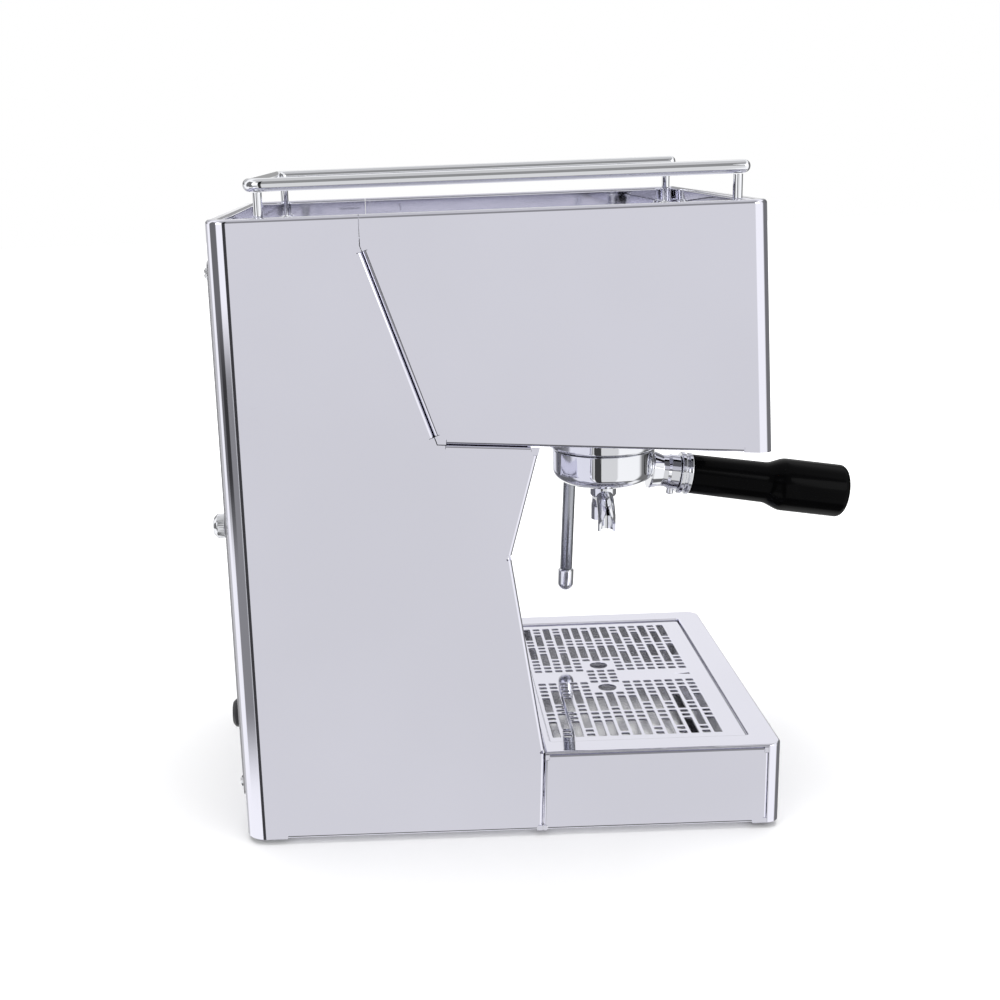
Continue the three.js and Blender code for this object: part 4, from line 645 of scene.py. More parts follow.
def piece(name, skin, slot, node=None, sharp=34.0, bevel=0.0):
    """Mesh from a skin: welded, turned outwards, smooth up to a crease angle, riding on its node's body."""
    node = node or name
    mesh = bpy.data.meshes.new(name)
    mesh.from_pydata((np.concatenate(skin.points) * MM).tolist(), [], skin.faces)
    work = bmesh.new()
    work.from_mesh(mesh)
    bmesh.ops.remove_doubles(work, verts=work.verts, dist=WELD)
    bmesh.ops.dissolve_degenerate(work, dist=WELD, edges=work.edges)
    bmesh.ops.recalc_face_normals(work, faces=work.faces)
    work.to_mesh(mesh)
    work.free()
    mesh.polygons.foreach_set("use_smooth", np.ones(len(mesh.polygons), bool))
    mesh.set_sharp_from_angle(angle=math.radians(sharp))
    mesh.materials.append(finishes[slot])
    made = added(name + "_fine", mesh)
    if bevel:
        edge = made.modifiers.new("rounded_edges", "BEVEL")
        edge.width = bevel * MM
        edge.segments = 2
        edge.limit_method = "ANGLE"
        edge.angle_limit = math.radians(50)
        edge.harden_normals = True
    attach(made, BODY_OF[node])
    if name == node:
        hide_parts(node)
    slot if slot in SLOTS else SLOT_FOR[slot]


def drawn_in(corners, folds):
    """Outline of a side plate in Y and Z. folds maps an edge's number to (bend, depth, start tab, end tab),
    or to None where the plate runs on into another surface. A folded edge is drawn in by its bend. A
    positive tab is the length that stays flat at that end, cut free by a relief; a negative one leaves the
    corner open. Returns the outline and, for each of its sides, whether another surface continues there."""
    corners = np.asarray(corners, float)
    edges = []
    for number, start in enumerate(corners):
        end = corners[(number + 1) % len(corners)]
        way = unit(end - start)
        inward = np.array([-way[1], way[0]])
        length = float(np.linalg.norm(end - start))
        stops, insets, runs_on = [], (0.0, 0.0), number in folds and folds[number] is None
        if folds.get(number):
            bend, _, start_tab, end_tab = folds[number]
            inset = bend + LAP
            insets = tuple(0.0 if tab > 0 else inset for tab in (start_tab, end_tab))
            if start_tab > 0:
                stops += [(start_tab - RELIEF, 0.0, False), (start_tab - RELIEF, inset, False)]
            stops += [(abs(start_tab), inset, True), (length - abs(end_tab), inset, False)]
            if end_tab > 0:
                stops += [(length - end_tab + RELIEF, inset, False), (length - end_tab + RELIEF, 0.0, False)]
        edges.append((start, way, inward, insets, stops, runs_on))
    outline, open_sides = [], []
    for number, (start, way, inward, insets, stops, runs_on) in enumerate(edges):
        _, last_way, last_inward, last_insets, _, _ = edges[number - 1]
        first = start + inward * insets[0]
        last = start + last_inward * last_insets[1]
        along = np.linalg.solve(np.column_stack([way, -last_way]), last - first)[0]
        outline.append(first + way * along)
        open_sides.append(runs_on)
        for stop, inset, opens in stops:
            outline.append(start + way * stop + inward * inset)
            open_sides.append(opens)
    return np.array(outline), open_sides


def fold_profile(bend, depth):
    """Outer and inner line of a fold, as distance from the edge and depth behind the face."""
    outer = np.concatenate([[(bend + LAP, 0)], arc(bend, bend, bend, 270, 180, BEND_STEPS),
                            [(0, bend + LAP), (0, depth)]])
    inner = np.concatenate([[(SHEET, depth), (SHEET, bend + LAP)],
                            arc(bend, bend, bend - SHEET, 180, 270, BEND_STEPS), [(bend + LAP, SHEET)]])
    return outer, inner


def folded_wall(skin, corners, folds):
    """Left side wall in one closed surface: a flat plate, and along each folded edge a quarter bend with a
    flange that points into the housing. A flange that reaches the middle plane is left open there."""
    outline, open_sides = drawn_in(corners, folds)

    def at_depth(points, depth):
        return np.column_stack([np.full(len(points), -HALF_WIDTH + depth), points])

    for depth in (0.0, SHEET):
        skin.flat(outline, [], lambda flat, depth=depth: at_depth(flat, depth))
    for start, end, runs_on in zip(outline, np.roll(outline, -1, axis=0), open_sides):
        if not runs_on:
            pair = np.array([start, end])
            skin.grid(np.stack([at_depth(pair, 0.0), at_depth(pair, SHEET)]))
    corners = np.asarray(corners, float)
    for number, fold in folds.items():
        if fold is None:
            continue
        bend, depth, start_tab, end_tab = fold
        start, end = corners[number], corners[(number + 1) % len(corners)]
        way = unit(end - start)
        inward = np.array([-way[1], way[0]])
        ends = [start + way * abs(start_tab), end - way * abs(end_tab)]
        outer, inner = fold_profile(bend, depth)
        whole = np.vstack([outer, inner])
        for line in [outer, inner] if depth >= HALF_WIDTH else [whole]:
            skin.grid(np.stack([
                np.column_stack([-HALF_WIDTH + line[:, 1], edge + line[:, :1] * inward]) for edge in ends]))
        for edge in ends:
            skin.face(np.column_stack([-HALF_WIDTH + whole[:, 1], edge + whole[:, :1] * inward]))


def rim_profile():
    """Rolled rim from the outer wall over the top and down its inner lip, then back along its hidden side."""
    outer = softened([(0, WALL_TOP), (0, RIM_HEIGHT), (RIM_WIDTH, RIM_HEIGHT), (RIM_WIDTH, LIP_FOOT)],
                     (RIM_BEND, RIM_INNER_BEND), 8)
    back = softened([(RIM_WIDTH - SHEET, LIP_FOOT), (RIM_WIDTH - SHEET, RIM_HEIGHT - SHEET),
                     (SHEET, RIM_HEIGHT - SHEET), (SHEET, WALL_TOP)],
                    (RIM_INNER_BEND - SHEET, RIM_BEND - SHEET), 8)
    return np.vstack([outer, back])


def lean_shift(height):
    """How far the leaning front stands ahead of its top at this height."""
    return (RIM_HEIGHT - height) * FRONT_LEAN


def corner_plan(bend, inset, middle_y, way):
    """Plan of the left corner at the rear (way 1) or the front (way -1): a lead, a quarter turn, a lead."""
    radius = max(bend - inset, SHEET / 2)
    turn = arc(-HALF_WIDTH + bend, middle_y, radius, 180, 180 - 90 * way, CORNER_STEPS)
    return np.concatenate([
        [(-HALF_WIDTH + inset, middle_y - way * LAP)],
        turn,
        [(-HALF_WIDTH + bend + LAP, turn[-1, 1])],
    ])


REAR_MIDDLE = REAR_WALL - REAR_BEND
FRONT_MIDDLE = front_of(HEAD_FRONT_DISTANCE) + FRONT_BEND


def rim_half(inset, height, bend, middle_y, way, seam_distance):
    """Points of the left half of the rim at one inset, from the seam to beyond the corner."""
    plan = corner_plan(bend, inset, middle_y, way)
    if way < 0:
        plan = plan - (0, lean_shift(height))
    plan = np.vstack([[(-HALF_WIDTH + inset, front_of(seam_distance))], plan])
    return level_place(plan, height)


def add_rim(skin, bend, middle_y, way, seam_distance):
    """Rim round one end of the housing, from the seam on the left side to the seam on the right one."""
    half = np.stack([rim_half(inset, height, bend, middle_y, way, seam_distance)
                     for inset, height in rim_profile()])
    whole = np.concatenate([half, half[:, ::-1] * (-1, 1, 1)], axis=1)
    skin.grid(whole)
    skin.face(whole[:, 0]).face(whole[::-1, -1])


def make_column():
    """Column housing: two folded side walls, rear corners, the rear wall with its opening, and a rim."""
    skin = Skin()
    corners = [(front_of(distance), height) for distance, height in (
        (REAR_BEND + LAP, FOOT_HEIGHT),
        (REAR_BEND + LAP, WALL_TOP),
        (SEAM_TOP_DISTANCE, WALL_TOP),
        (SEAM_TOP_DISTANCE, SEAM_FOLD_TOP),
        (SEAM_FOOT_DISTANCE, SEAM_FOOT_HEIGHT - JOINT_GAP),
        (COLUMN_TOP_DISTANCE, underside(COLUMN_TOP_DISTANCE) - JOINT_GAP),
        WAIST,
        COLUMN_FOOT,
        (BASE_JOINT_DISTANCE, FOOT_HEIGHT),
    )]
    folded_wall(skin, corners, {
        0: None,
        1: None,
        3: (EDGE_BEND, SEAM_FLANGE, TAB, SEAM_TAB),
        4: (TIGHT_BEND, SEAM_FLANGE, SEAM_TAB, SEAM_TAB),
        5: (EDGE_BEND, EDGE_FLANGE, SEAM_TAB, -NOTCH),
        6: (EDGE_BEND, EDGE_FLANGE, -NOTCH, -NOTCH),
        7: (EDGE_BEND, EDGE_FLANGE, -NOTCH, TAB),
        8: (EDGE_BEND, EDGE_FLANGE, TAB, REAR_FOOT_TAB - REAR_BEND - LAP),
    })
    outer, inner = (corner_plan(REAR_BEND, inset, REAR_MIDDLE, 1) for inset in (0.0, SHEET))
    for plan in (outer, inner):
        skin.grid(np.stack([level_place(plan, FOOT_HEIGHT), level_place(plan, WALL_TOP)]))
    skin.grid(np.stack([level_place(outer, FOOT_HEIGHT), level_place(inner, FOOT_HEIGHT)]))
    skin.mirrored()
    edge = HALF_WIDTH - REAR_BEND - LAP
    wall = np.array([(-edge, FOOT_HEIGHT), (edge, FOOT_HEIGHT), (edge, WALL_TOP), (-edge, WALL_TOP)])
    opening = rounded_rectangle(*REAR_OPENING, 12, 8)
    across = cross_plane(REAR_WALL)
    for depth in (0.0, -SHEET):
        skin.flat(wall, [opening], lambda flat, depth=depth: across(flat, depth))
    skin.grid(np.stack([across(opening, 0.0), across(opening, -SHEET)]), round_columns=True)
    skin.grid(np.stack([across(wall[:2], 0.0), across(wall[:2], -SHEET)]))
    add_rim(skin, REAR_BEND, REAR_MIDDLE, 1, SEAM_TOP_DISTANCE)
    piece("column_shell", skin, "polished_steel", bevel=0.22)


def toe_height(rim_y):
    """Height at which the leaning front, at this Y under the rim, meets the sloping underside."""
    reach = REAR_WALL - rim_y + RIM_HEIGHT * FRONT_LEAN - SEAM_FOOT_DISTANCE
    return (SEAM_FOOT_HEIGHT - reach * UNDERSIDE_SLOPE) / (1 - FRONT_LEAN * UNDERSIDE_SLOPE)


FACE_MIDDLE_HEIGHT = (RIM_HEIGHT + toe_height(front_of(HEAD_FRONT_DISTANCE))) / 2
FACE_UP = np.array([0, math.sin(LEAN_ANGLE), math.cos(LEAN_ANGLE)])
FACE_OUT = np.array([0, -FACE_UP[2], FACE_UP[1]])
FACE_MIDDLE = np.array([0, front_of(HEAD_FRONT_DISTANCE) - lean_shift(FACE_MIDDLE_HEIGHT),
                        FACE_MIDDLE_HEIGHT])


def on_face(across, up):
    """Frame standing on the front face: across, up along the lean, and outwards."""
    return basis((1, 0, 0), FACE_UP, FACE_OUT, FACE_MIDDLE + (across, 0, 0) + up * FACE_UP)


SWITCH_ACROSS = [share * HALF_WIDTH for share in (-0.754, -0.554, -0.354)]
SWITCH_UP = -20.0
SWITCH_SIZE = (17.0, 27.0)
GAUGE_UP = 14.0
NEEDLE_REST = 2.356
DIAL_RADIUS = 23.7
LAMP_UP = 14.0
KNOB_AT = (84.0, -8.0)


def make_head():
    """Head housing: two folded side walls, front corners, the leaning front with its cuts, and a rim."""
    skin = Skin()
    rim_front = front_of(HEAD_FRONT_DISTANCE)
    side_y = rim_front + FRONT_BEND + LAP
    toe = toe_height(side_y)
    corners = [
        (front_of(SEAM_TOP_DISTANCE + JOINT_GAP), WALL_TOP),
        (side_y - lean_shift(WALL_TOP), WALL_TOP),
        (side_y - lean_shift(toe), toe),
        (front_of(SEAM_FOOT_DISTANCE + JOINT_GAP), SEAM_FOOT_HEIGHT),
        (front_of(SEAM_TOP_DISTANCE + JOINT_GAP), SEAM_FOLD_TOP),
    ]
    folded_wall(skin, corners, {
        0: None,
        1: None,
        2: (EDGE_BEND, EDGE_FLANGE, CORNER_TAB - FRONT_BEND - LAP, SEAM_TAB),
        3: (EDGE_BEND, SEAM_FLANGE, SEAM_TAB, TAB),
    })

    def leaning(plan, heights):
        return np.column_stack([plan[:, 0], plan[:, 1] - lean_shift(heights), heights])

    plans = [corner_plan(FRONT_BEND, inset, FRONT_MIDDLE, -1) for inset in (0.0, SHEET)]
    feet = [leaning(plan, toe_height(plan[:, 1])) for plan in plans]
    for plan, foot in zip(plans, feet):
        skin.grid(np.stack([foot, leaning(plan, np.full(len(plan), WALL_TOP))]))
    skin.grid(np.stack(feet))
    skin.mirrored()
    edge = HALF_WIDTH - FRONT_BEND - LAP
    width, height = SWITCH_SIZE[0] / 2, SWITCH_SIZE[1] / 2
    cuts = [ring_of(0, GAUGE_UP, 25, 48), ring_of(SWITCH_ACROSS[0], LAMP_UP, 6, 24), ring_of(*KNOB_AT, 9, 28)]
    cuts += [rounded_rectangle(x - width, SWITCH_UP - height, x + width, SWITCH_UP + height, 0.6, 3)
             for x in SWITCH_ACROSS]
    cuts = [np.column_stack([cut[:, 0], FACE_MIDDLE_HEIGHT + cut[:, 1] * FACE_UP[2]]) for cut in cuts]
    walls = []
    for inset in (0.0, SHEET):
        low = toe_height(rim_front + inset)
        outline = np.array([(-edge, low), (edge, low), (edge, WALL_TOP), (-edge, WALL_TOP)])

        def in_wall(points, inset=inset):
            return np.column_stack([points[:, 0], rim_front + inset - lean_shift(points[:, 1]), points[:, 1]])

        skin.flat(outline, cuts, in_wall)
        walls.append((in_wall, outline))
    for cut in cuts:
        skin.grid(np.stack([in_wall(cut) for in_wall, _ in walls]), round_columns=True)
    skin.grid(np.stack([in_wall(outline[:2]) for in_wall, outline in walls]))
    add_rim(skin, FRONT_BEND, FRONT_MIDDLE, -1, SEAM_TOP_DISTANCE + JOINT_GAP)
    piece("head_shell", skin, "polished_steel", bevel=0.22)


def make_base():
    """Base housing: side walls folded on all four edges; the lower folds meet in the middle as a floor."""
    skin = Skin()
    top = FRAME_TOP - SHEET - PLAY
    corners = [(front_of(distance), height) for distance, height in (
        (BASE_JOINT_DISTANCE + JOINT_GAP, FOOT_HEIGHT),
        (COLUMN_FOOT[0] + JOINT_GAP, top),
        (BASE_FRONT_DISTANCE, top),
        (BASE_FRONT_DISTANCE, FOOT_HEIGHT),
    )]
    folded_wall(skin, corners, {
        0: (TIGHT_BEND, EDGE_FLANGE, TAB, TAB),
        1: (EDGE_BEND, EDGE_FLANGE, SHORT_TAB, SHORT_TAB),
        2: (TIGHT_BEND, SEAM_FLANGE, TAB, TAB),
        3: (EDGE_BEND, HALF_WIDTH, APRON_RETURN, SHORT_TAB),
    })
    skin.mirrored()
    piece("base_shell", skin, "polished_steel", bevel=0.22)


def make_splash_panel():
    """Bent panel behind the side flanges: its side view, softened at the waist, is carried across."""
    inset = SHEET + 2 * PLAY
    top = underside(COLUMN_TOP_DISTANCE) - SEAM_FLANGE
    share = (top - WAIST[1]) / (underside(COLUMN_TOP_DISTANCE) - WAIST[1])
    top_distance = WAIST[0] + (COLUMN_TOP_DISTANCE - WAIST[0]) * share
    line = [(top_distance, top), WAIST, COLUMN_FOOT, (BASE_JOINT_DISTANCE, FOOT_HEIGHT + EDGE_FLANGE)]
    half = HALF_WIDTH - SHEET - PLAY
    face, back = (
        softened([(front_of(distance - depth), height) for distance, height in line], (bend, bend), 8)
        for depth, bend in ((inset, WAIST_BEND), (inset + SHEET, WAIST_BEND + SHEET)))
    section = np.vstack([face, back[::-1]])
    ends = [np.column_stack([np.full(len(section), x), section]) for x in (-half, half)]
    skin = Skin().grid(np.stack(ends), round_columns=True).face(ends[0]).face(ends[1][::-1])
    crown = underside(COLUMN_TOP_DISTANCE - SEAM_FLANGE) + SHEET - PLAY
    tab_half = HALF_WIDTH - EDGE_FLANGE - PLAY
    tab = rounded_rectangle(-tab_half, top - SEAM_FLANGE, tab_half, crown, 2.0)
    slab(skin, tab, [], cross_plane(front_of(top_distance - inset)), SHEET + 0.02, 2 * SHEET)
    piece("splash_panel", skin, "polished_steel", bevel=0.2)


def body_outline(inset):
    """Plan of the housing drawn in by an inset, anticlockwise from its front left corner."""
    front, rear = FRONT_BEND - inset, REAR_BEND - inset
    return rounded_rectangle(-HALF_WIDTH + inset, front_of(HEAD_FRONT_DISTANCE) + inset, HALF_WIDTH - inset,
                             REAR_WALL - inset, (front, front, rear, rear), 10)


TANK_REAR = 38.0
TANK_WIDTH = 150.0
TANK_DEPTH = 76.0
TANK_CORNER = 12.0
TANK_BOTTOM = 122.0
TANK_WALL = 2.4
LID_MARGIN = 6.0
LID_GRIP = 12.0
TANK_MIDDLE_Y = front_of(TANK_REAR + TANK_DEPTH / 2)


def tank_outline(grow):
    """Plan of the tank's outer wall, moved out by grow."""
    return rounded_rectangle(
        -TANK_WIDTH / 2 - grow, front_of(TANK_REAR + TANK_DEPTH + grow),
        TANK_WIDTH / 2 + grow, front_of(TANK_REAR - grow), TANK_CORNER + grow, 10)


def make_top():
    """Cup tray with the opening over the tank, the lid that closes it with a skirt inside, and the tank."""
    tray_low = CUP_TRAY_HEIGHT - SHEET
    tray_hole = tank_outline(LID_MARGIN)
    tray = slab(Skin(), body_outline(RIM_BEND), [tray_hole], level_place, tray_low, CUP_TRAY_HEIGHT)
    piece("cup_tray", tray, "polished_steel")
    grip = ring_of(0, TANK_MIDDLE_Y, LID_GRIP, 40)
    lid = slab(Skin(), tank_outline(LID_MARGIN - PLAY), [grip], level_place, tray_low, CUP_TRAY_HEIGHT, 0.35)
    skirt = -TANK_WALL - 1.0
    slab(lid, tank_outline(skirt), [tank_outline(skirt - SHEET)], level_place, tray_low - 6.0,
         tray_low - 0.01)
    piece("tank_lid", lid, "polished_steel")

    top, floor = tray_low - PLAY, TANK_BOTTOM
    foot = arc(-4, floor + 4, 4, -90, 0, 6)
    inside = -TANK_WALL
    levels = [
        *foot, (0, top - 5.6), (0.6, top - 5), (3.0, top - 5), (3.2, top - 4.8), (3.2, top - 0.3), (2.9, top),
        (inside + 0.3, top), (inside, top - 0.3), (inside, floor + TANK_WALL + 2),
        (inside - 2, floor + TANK_WALL),
    ]
    tank = vessel(tank_outline, levels)
    outlet = softened([(0, floor - 8), (9, floor - 8), (9, floor - 0.02), (0, floor - 0.02)], (0.8, 0.01), 4)
    turned(tank, outlet, 32, upright(0, TANK_MIDDLE_Y))
    piece("water_tank", tank, "tank_plastic")


RAIL_RADIUS = 4.0
RAIL_HEIGHT = RIM_HEIGHT + 18.8
RAIL_HALF_SPAN = HALF_WIDTH - 21.0
RAIL_CORNER = 9.0
RAIL_REAR = front_of(26.0)
RAIL_FRONT = front_of(324.5)


def make_rail():
    """Round tube along both sides and the rear; at its two free ends the circle shrinks over a half ball."""
    bend = RAIL_HALF_SPAN - RAIL_CORNER
    corner = arc(-bend, RAIL_REAR - RAIL_CORNER, RAIL_CORNER, 180, 90, 12)
    lead = np.linspace(RAIL_FRONT + 0.8, RAIL_REAR - RAIL_CORNER - 1, 8)
    half = np.vstack([np.column_stack([np.full(8, -RAIL_HALF_SPAN), lead]), corner])
    plan = np.vstack([half, half[::-1] * (-1, 1)])
    tip = np.radians(np.linspace(0, 88, 7))[1:]
    ends = np.column_stack([np.full(6, -RAIL_HALF_SPAN), RAIL_FRONT + 0.8 - RAIL_RADIUS * np.sin(tip)])
    plan = np.vstack([ends[::-1], plan, ends * (-1, 1)])
    size = np.concatenate([np.cos(tip)[::-1], np.ones(len(plan) - 12), np.cos(tip)]) * RAIL_RADIUS
    section = ring_of(0, 0, 1, 28)[None] * size[:, None, None]
    skin = swept(Skin(), section, level_place(plan, RAIL_HEIGHT))
    piece("cup_rail", skin, "chrome")
    low, high = CUP_TRAY_HEIGHT + PLAY, RAIL_HEIGHT - RAIL_RADIUS - PLAY
    profile = softened([(0, low), (5, low), (5, low + 1.6), (2.9, low + 1.6), (2.9, high), (0, high)],
                       (0.2, 0.5, 0.8, 0.3), 4)
    for word, x in (("left", -RAIL_HALF_SPAN), ("right", RAIL_HALF_SPAN)):
        for place, distance in (("front", 320.5), ("rear", 31.5)):
            post = turned(Skin(), profile, 36, upright(x, front_of(distance)))
            piece(f"rail_post_{place}_{word}", post, "chrome")


def make_rear():
    """Vented rear panel, two thumb nuts and the gland that a cord would pass through. The knurl of a nut
    draws its radius in by a cosine with 40 waves in a full turn."""
    panel_half, low, high = HALF_WIDTH - 18.0, 27.0, RIM_HEIGHT - 25.0
    vents = [rounded_rectangle(x - 2.5, 296, x + 2.5, 340, 2.4, 5)
             for middle in (-46.0, 46.0) for x in middle + 12.0 * np.arange(-2, 3)]
    gland_x, gland_height = -(HALF_WIDTH - 52.0), 73.5
    holes = [*vents, ring_of(gland_x, gland_height, 6.3, 32)]
    panel_y = REAR_WALL + PLAY
    outline = rounded_rectangle(-panel_half, low, panel_half, high, 5, 8)
    piece("rear_panel", slab(Skin(), outline, holes, cross_plane(panel_y), 0, SHEET, 0.3), "satin_steel")

    def at_rear(x, height, out):
        return basis((1, 0, 0), (0, 0, -1), (0, 1, 0), (x, out, height))

    nut = softened([(0, 0), (8, 0), (8, 4.9), (5.6, 7.4), (0, 8.6)], (0.4, 1.2, 2.4), 5)
    knurled = 0.02 * (nut[:, 1] < 4.2)
    ridges = nut[:, :1] * (1 - np.outer(knurled, 1 + np.cos(40 * full_turn(160))))
    for word, x in (("left", -THUMB_NUT_X), ("right", THUMB_NUT_X)):
        skin = turned(Skin(), nut, 160, at_rear(x, THUMB_NUT_HEIGHT, panel_y + SHEET + PLAY), radii=ridges)
        piece(f"rear_thumb_nut_{word}", skin, "chrome")
    gland = softened([(4, -9), (9.6, -9), (9.6, -1.8), (6, -1.8), (6, 1.8), (9.6, 1.8), (9.6, 7), (7.6, 9),
                      (4, 9), (4, -9)], (0.5, 0.3, 0.1, 0.1, 0.3, 0.6, 0.6, 0.4), 4)[:-1]
    piece("cord_gland", turned(Skin(), gland, 48, at_rear(gland_x, gland_height, panel_y), closed=True),
          "grey_plastic")


def make_tray():
    """Frame with an apron round its front and a lipped opening, and the drip pan that hangs under the lip."""
    skin = Skin()
    low, foot = FRAME_TOP - SHEET, FOOT_HEIGHT
    front_y, rear_y = front_of(BODY_DEPTH), front_of(COLUMN_FOOT[0] + JOINT_GAP)
    apron_y = front_y + APRON_RETURN

    def apron(inset):
        """From the left end of the apron round the front to its right end."""
        x = HALF_WIDTH - inset
        left = arc(-HALF_WIDTH + FRAME_CORNER, front_y + FRAME_CORNER, FRAME_CORNER - inset, 180, 270, 12)
        return np.vstack([[(-x, apron_y)], left, left[::-1] * (-1, 1), [(x, apron_y)]])

    def back(inset):
        """From the right end of the apron round the rear to its left end."""
        x, y = HALF_WIDTH - inset, rear_y - inset
        return np.array([(x, apron_y), (x, y), (-x, y), (-x, apron_y)])

    def border(inset):
        return np.vstack([apron(inset), back(inset)[1:3]])

    def rows(levels, part):
        return np.stack([level_place(part(inset), height) for inset, height in levels])

    bend, flat_from = 1.4, 2.2
    rounding = arc(bend, FRAME_TOP - bend, bend, 90, 180, 6)
    rings(skin, border, [(flat_from, FRAME_TOP), *rounding, (0, low)])
    apron_section = [(0, low), (0, foot), (SHEET, foot), (SHEET, foot + SHEET), (SHEET, low)]
    skin.grid(rows(apron_section, apron))
    skin.grid(rows([(0, low), (SHEET, low)], back))
    rings(skin, border, [(SHEET, low), (flat_from, low)])
    for end in (0, -1):
        skin.face(np.array([[*apron(inset)[end], height] for inset, height in apron_section]))

    def opening(inset):
        return rounded_rectangle(-OPENING_HALF_WIDTH - inset, front_of(OPENING_FRONT) - inset,
                                 OPENING_HALF_WIDTH + inset, front_of(OPENING_REAR) + inset, 2.0 + inset, 6)

    lip_from = 0.9
    lip_foot = low - SHEET
    rings(skin, opening, [(lip_from, FRAME_TOP), (0.5, FRAME_TOP), (0.15, FRAME_TOP - 0.15),
                          (0, FRAME_TOP - 0.5), (0, lip_foot), (SHEET, lip_foot), (SHEET, low)])
    skin.flat(border(flat_from), [opening(lip_from)], lambda flat: level_place(flat, FRAME_TOP))
    skin.flat(border(flat_from), [opening(SHEET)], lambda flat: level_place(flat, low))
    flange_half = HALF_WIDTH - FRAME_CORNER
    flange = rounded_rectangle(-flange_half, front_y + SHEET + 0.02, flange_half, front_y + 8, 1.0)
    slab(skin, flange, [], level_place, foot, foot + SHEET)
    piece("drip_tray_frame", skin, "polished_steel", bevel=0.15)

    top = lip_foot - PLAY
    bottom = top - 34.0
    outer = arc(8, bottom + 4, 4, 270, 180, 5)
    inner = arc(8, bottom + SHEET + 2.5, 2.5, 270, 180, 5)
    levels = [*outer, (0, top - SHEET), (-6.2, top - SHEET), (-6.4, top - 1.2), (-6.4, top - 0.3),
              (-6.1, top), (SHEET - 0.6, top), (SHEET, top - 0.6), *inner[::-1]]

    def pan_ring(inset):
        """Plan of the pan; its flange, which has a negative inset, is cut short at the rear."""
        half = PAN_HALF_WIDTH - inset
        ring = rounded_rectangle(-half, front_of(PAN_FRONT) + inset, half, front_of(PAN_REAR) - inset,
                                 10.0 if inset >= 0 else 8.0, 8)
        if inset < 0:
            ring[:, 1] = np.minimum(ring[:, 1], front_of(PAN_REAR) + 3.2)
        return ring

    piece("drip_pan", vessel(pan_ring, levels), "pan_steel_painted_light")


SLOT_WIDTH, SLOT_PITCH, LONG_SLOT, SHORT_SLOT, SLOT_WEB, CENTRE_GAP = 5.3, 7.76, 25.5, 4.2, 2.5, 10.5
LAST_COLUMN, COLUMN_COUNT, DRAIN_OFFSET, DRAIN_RADIUS = 318.9, 15, 21.5, 6.5


def make_grille():
    """Drip grille: rows of long and short slots in turn, two drain holes and an arrow towards the group."""
    short, long = SHORT_SLOT, LONG_SLOT
    even = [short] * 2 + [long] + [short] * 2 + [long] + [short] * 2
    odd = [short] * 4 + [long] + [short] * 2 + [long]
    middle = [long] + [short] * 2 + [long] + [short]
    flank = [short, long] + [short] * 2 + [long]
    holes = []

    def add_row(lengths, start, distance):
        ends = np.cumsum([0, *[length + SLOT_WEB for length in lengths]]) + start
        for left, length in zip(ends, lengths):
            for side in (left, -left - length):
                holes.append(rounded_rectangle(side, front_of(distance + SLOT_WIDTH / 2), side + length,
                                               front_of(distance - SLOT_WIDTH / 2), 0.7, 3))

    for index in range(COLUMN_COUNT):
        distance = LAST_COLUMN - index * SLOT_PITCH
        from_group = round((distance - GROUP_DISTANCE) / SLOT_PITCH)
        if abs(from_group) <= 1:
            add_row(flank if from_group else middle, DRAIN_OFFSET + DRAIN_RADIUS + 2.5, distance)
            add_row([short] * 2, SLOT_WEB / 2, distance)
        else:
            add_row(even if index % 2 else odd, CENTRE_GAP, distance)
    holes += [ring_of(x, front_of(GROUP_DISTANCE), DRAIN_RADIUS, 32) for x in (-DRAIN_OFFSET, DRAIN_OFFSET)]
    tip = front_of(LAST_COLUMN - SLOT_PITCH)
    holes.append(np.array([(-1.6, tip - 10.5), (1.6, tip - 10.5), (0, tip)]))
    low = FRAME_TOP - 2 * SHEET
    half = OPENING_HALF_WIDTH - PLAY
    outline = rounded_rectangle(-half, front_of(OPENING_FRONT - 1.3), half, front_of(OPENING_REAR + PLAY),
                                2.0, 6)
    grille = slab(Skin(), outline, holes, level_place, low, low + SHEET, 0.25, 2)
    piece("drip_grille", grille, "polished_steel")


def make_underside():
    """Sloping plate inside the head's lower edge, with holes for the group and the wand."""
    def on_slope(points, height):
        return np.column_stack([points, underside(REAR_WALL - points[:, 1]) + height])

    half = HALF_WIDTH - SHEET - PLAY - FRONT_BEND
    rear_y = front_of(COLUMN_TOP_DISTANCE - SEAM_FLANGE)
    outline = rounded_rectangle(-half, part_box("head_underside")[0].y / MM, half, rear_y, 1.0)
    holes = [ring_of(0, front_of(GROUP_DISTANCE), 38.9, 72),
             ring_of(WAND_X, front_of(WAND_DISTANCE), 6.3, 28)]
    lift = SHEET + PLAY
    piece("head_underside", slab(Skin(), outline, holes, on_slope, lift, lift + SHEET), "polished_steel")


HANDLE_SLOPE = 8.9
HANDLE_DISTANCE = 318.5
LEDGE_RISE = 3.6
HOLDER_TOP = BELL_LIP - 0.8
HOLDER_RIM = 14.8
HOLDER_FOOT = HOLDER_TOP - 26.6
HANDLE_FRAME = upright(0, front_of(HANDLE_DISTANCE), HOLDER_FOOT + 4.3) @ turn_x(HANDLE_SLOPE - 90)


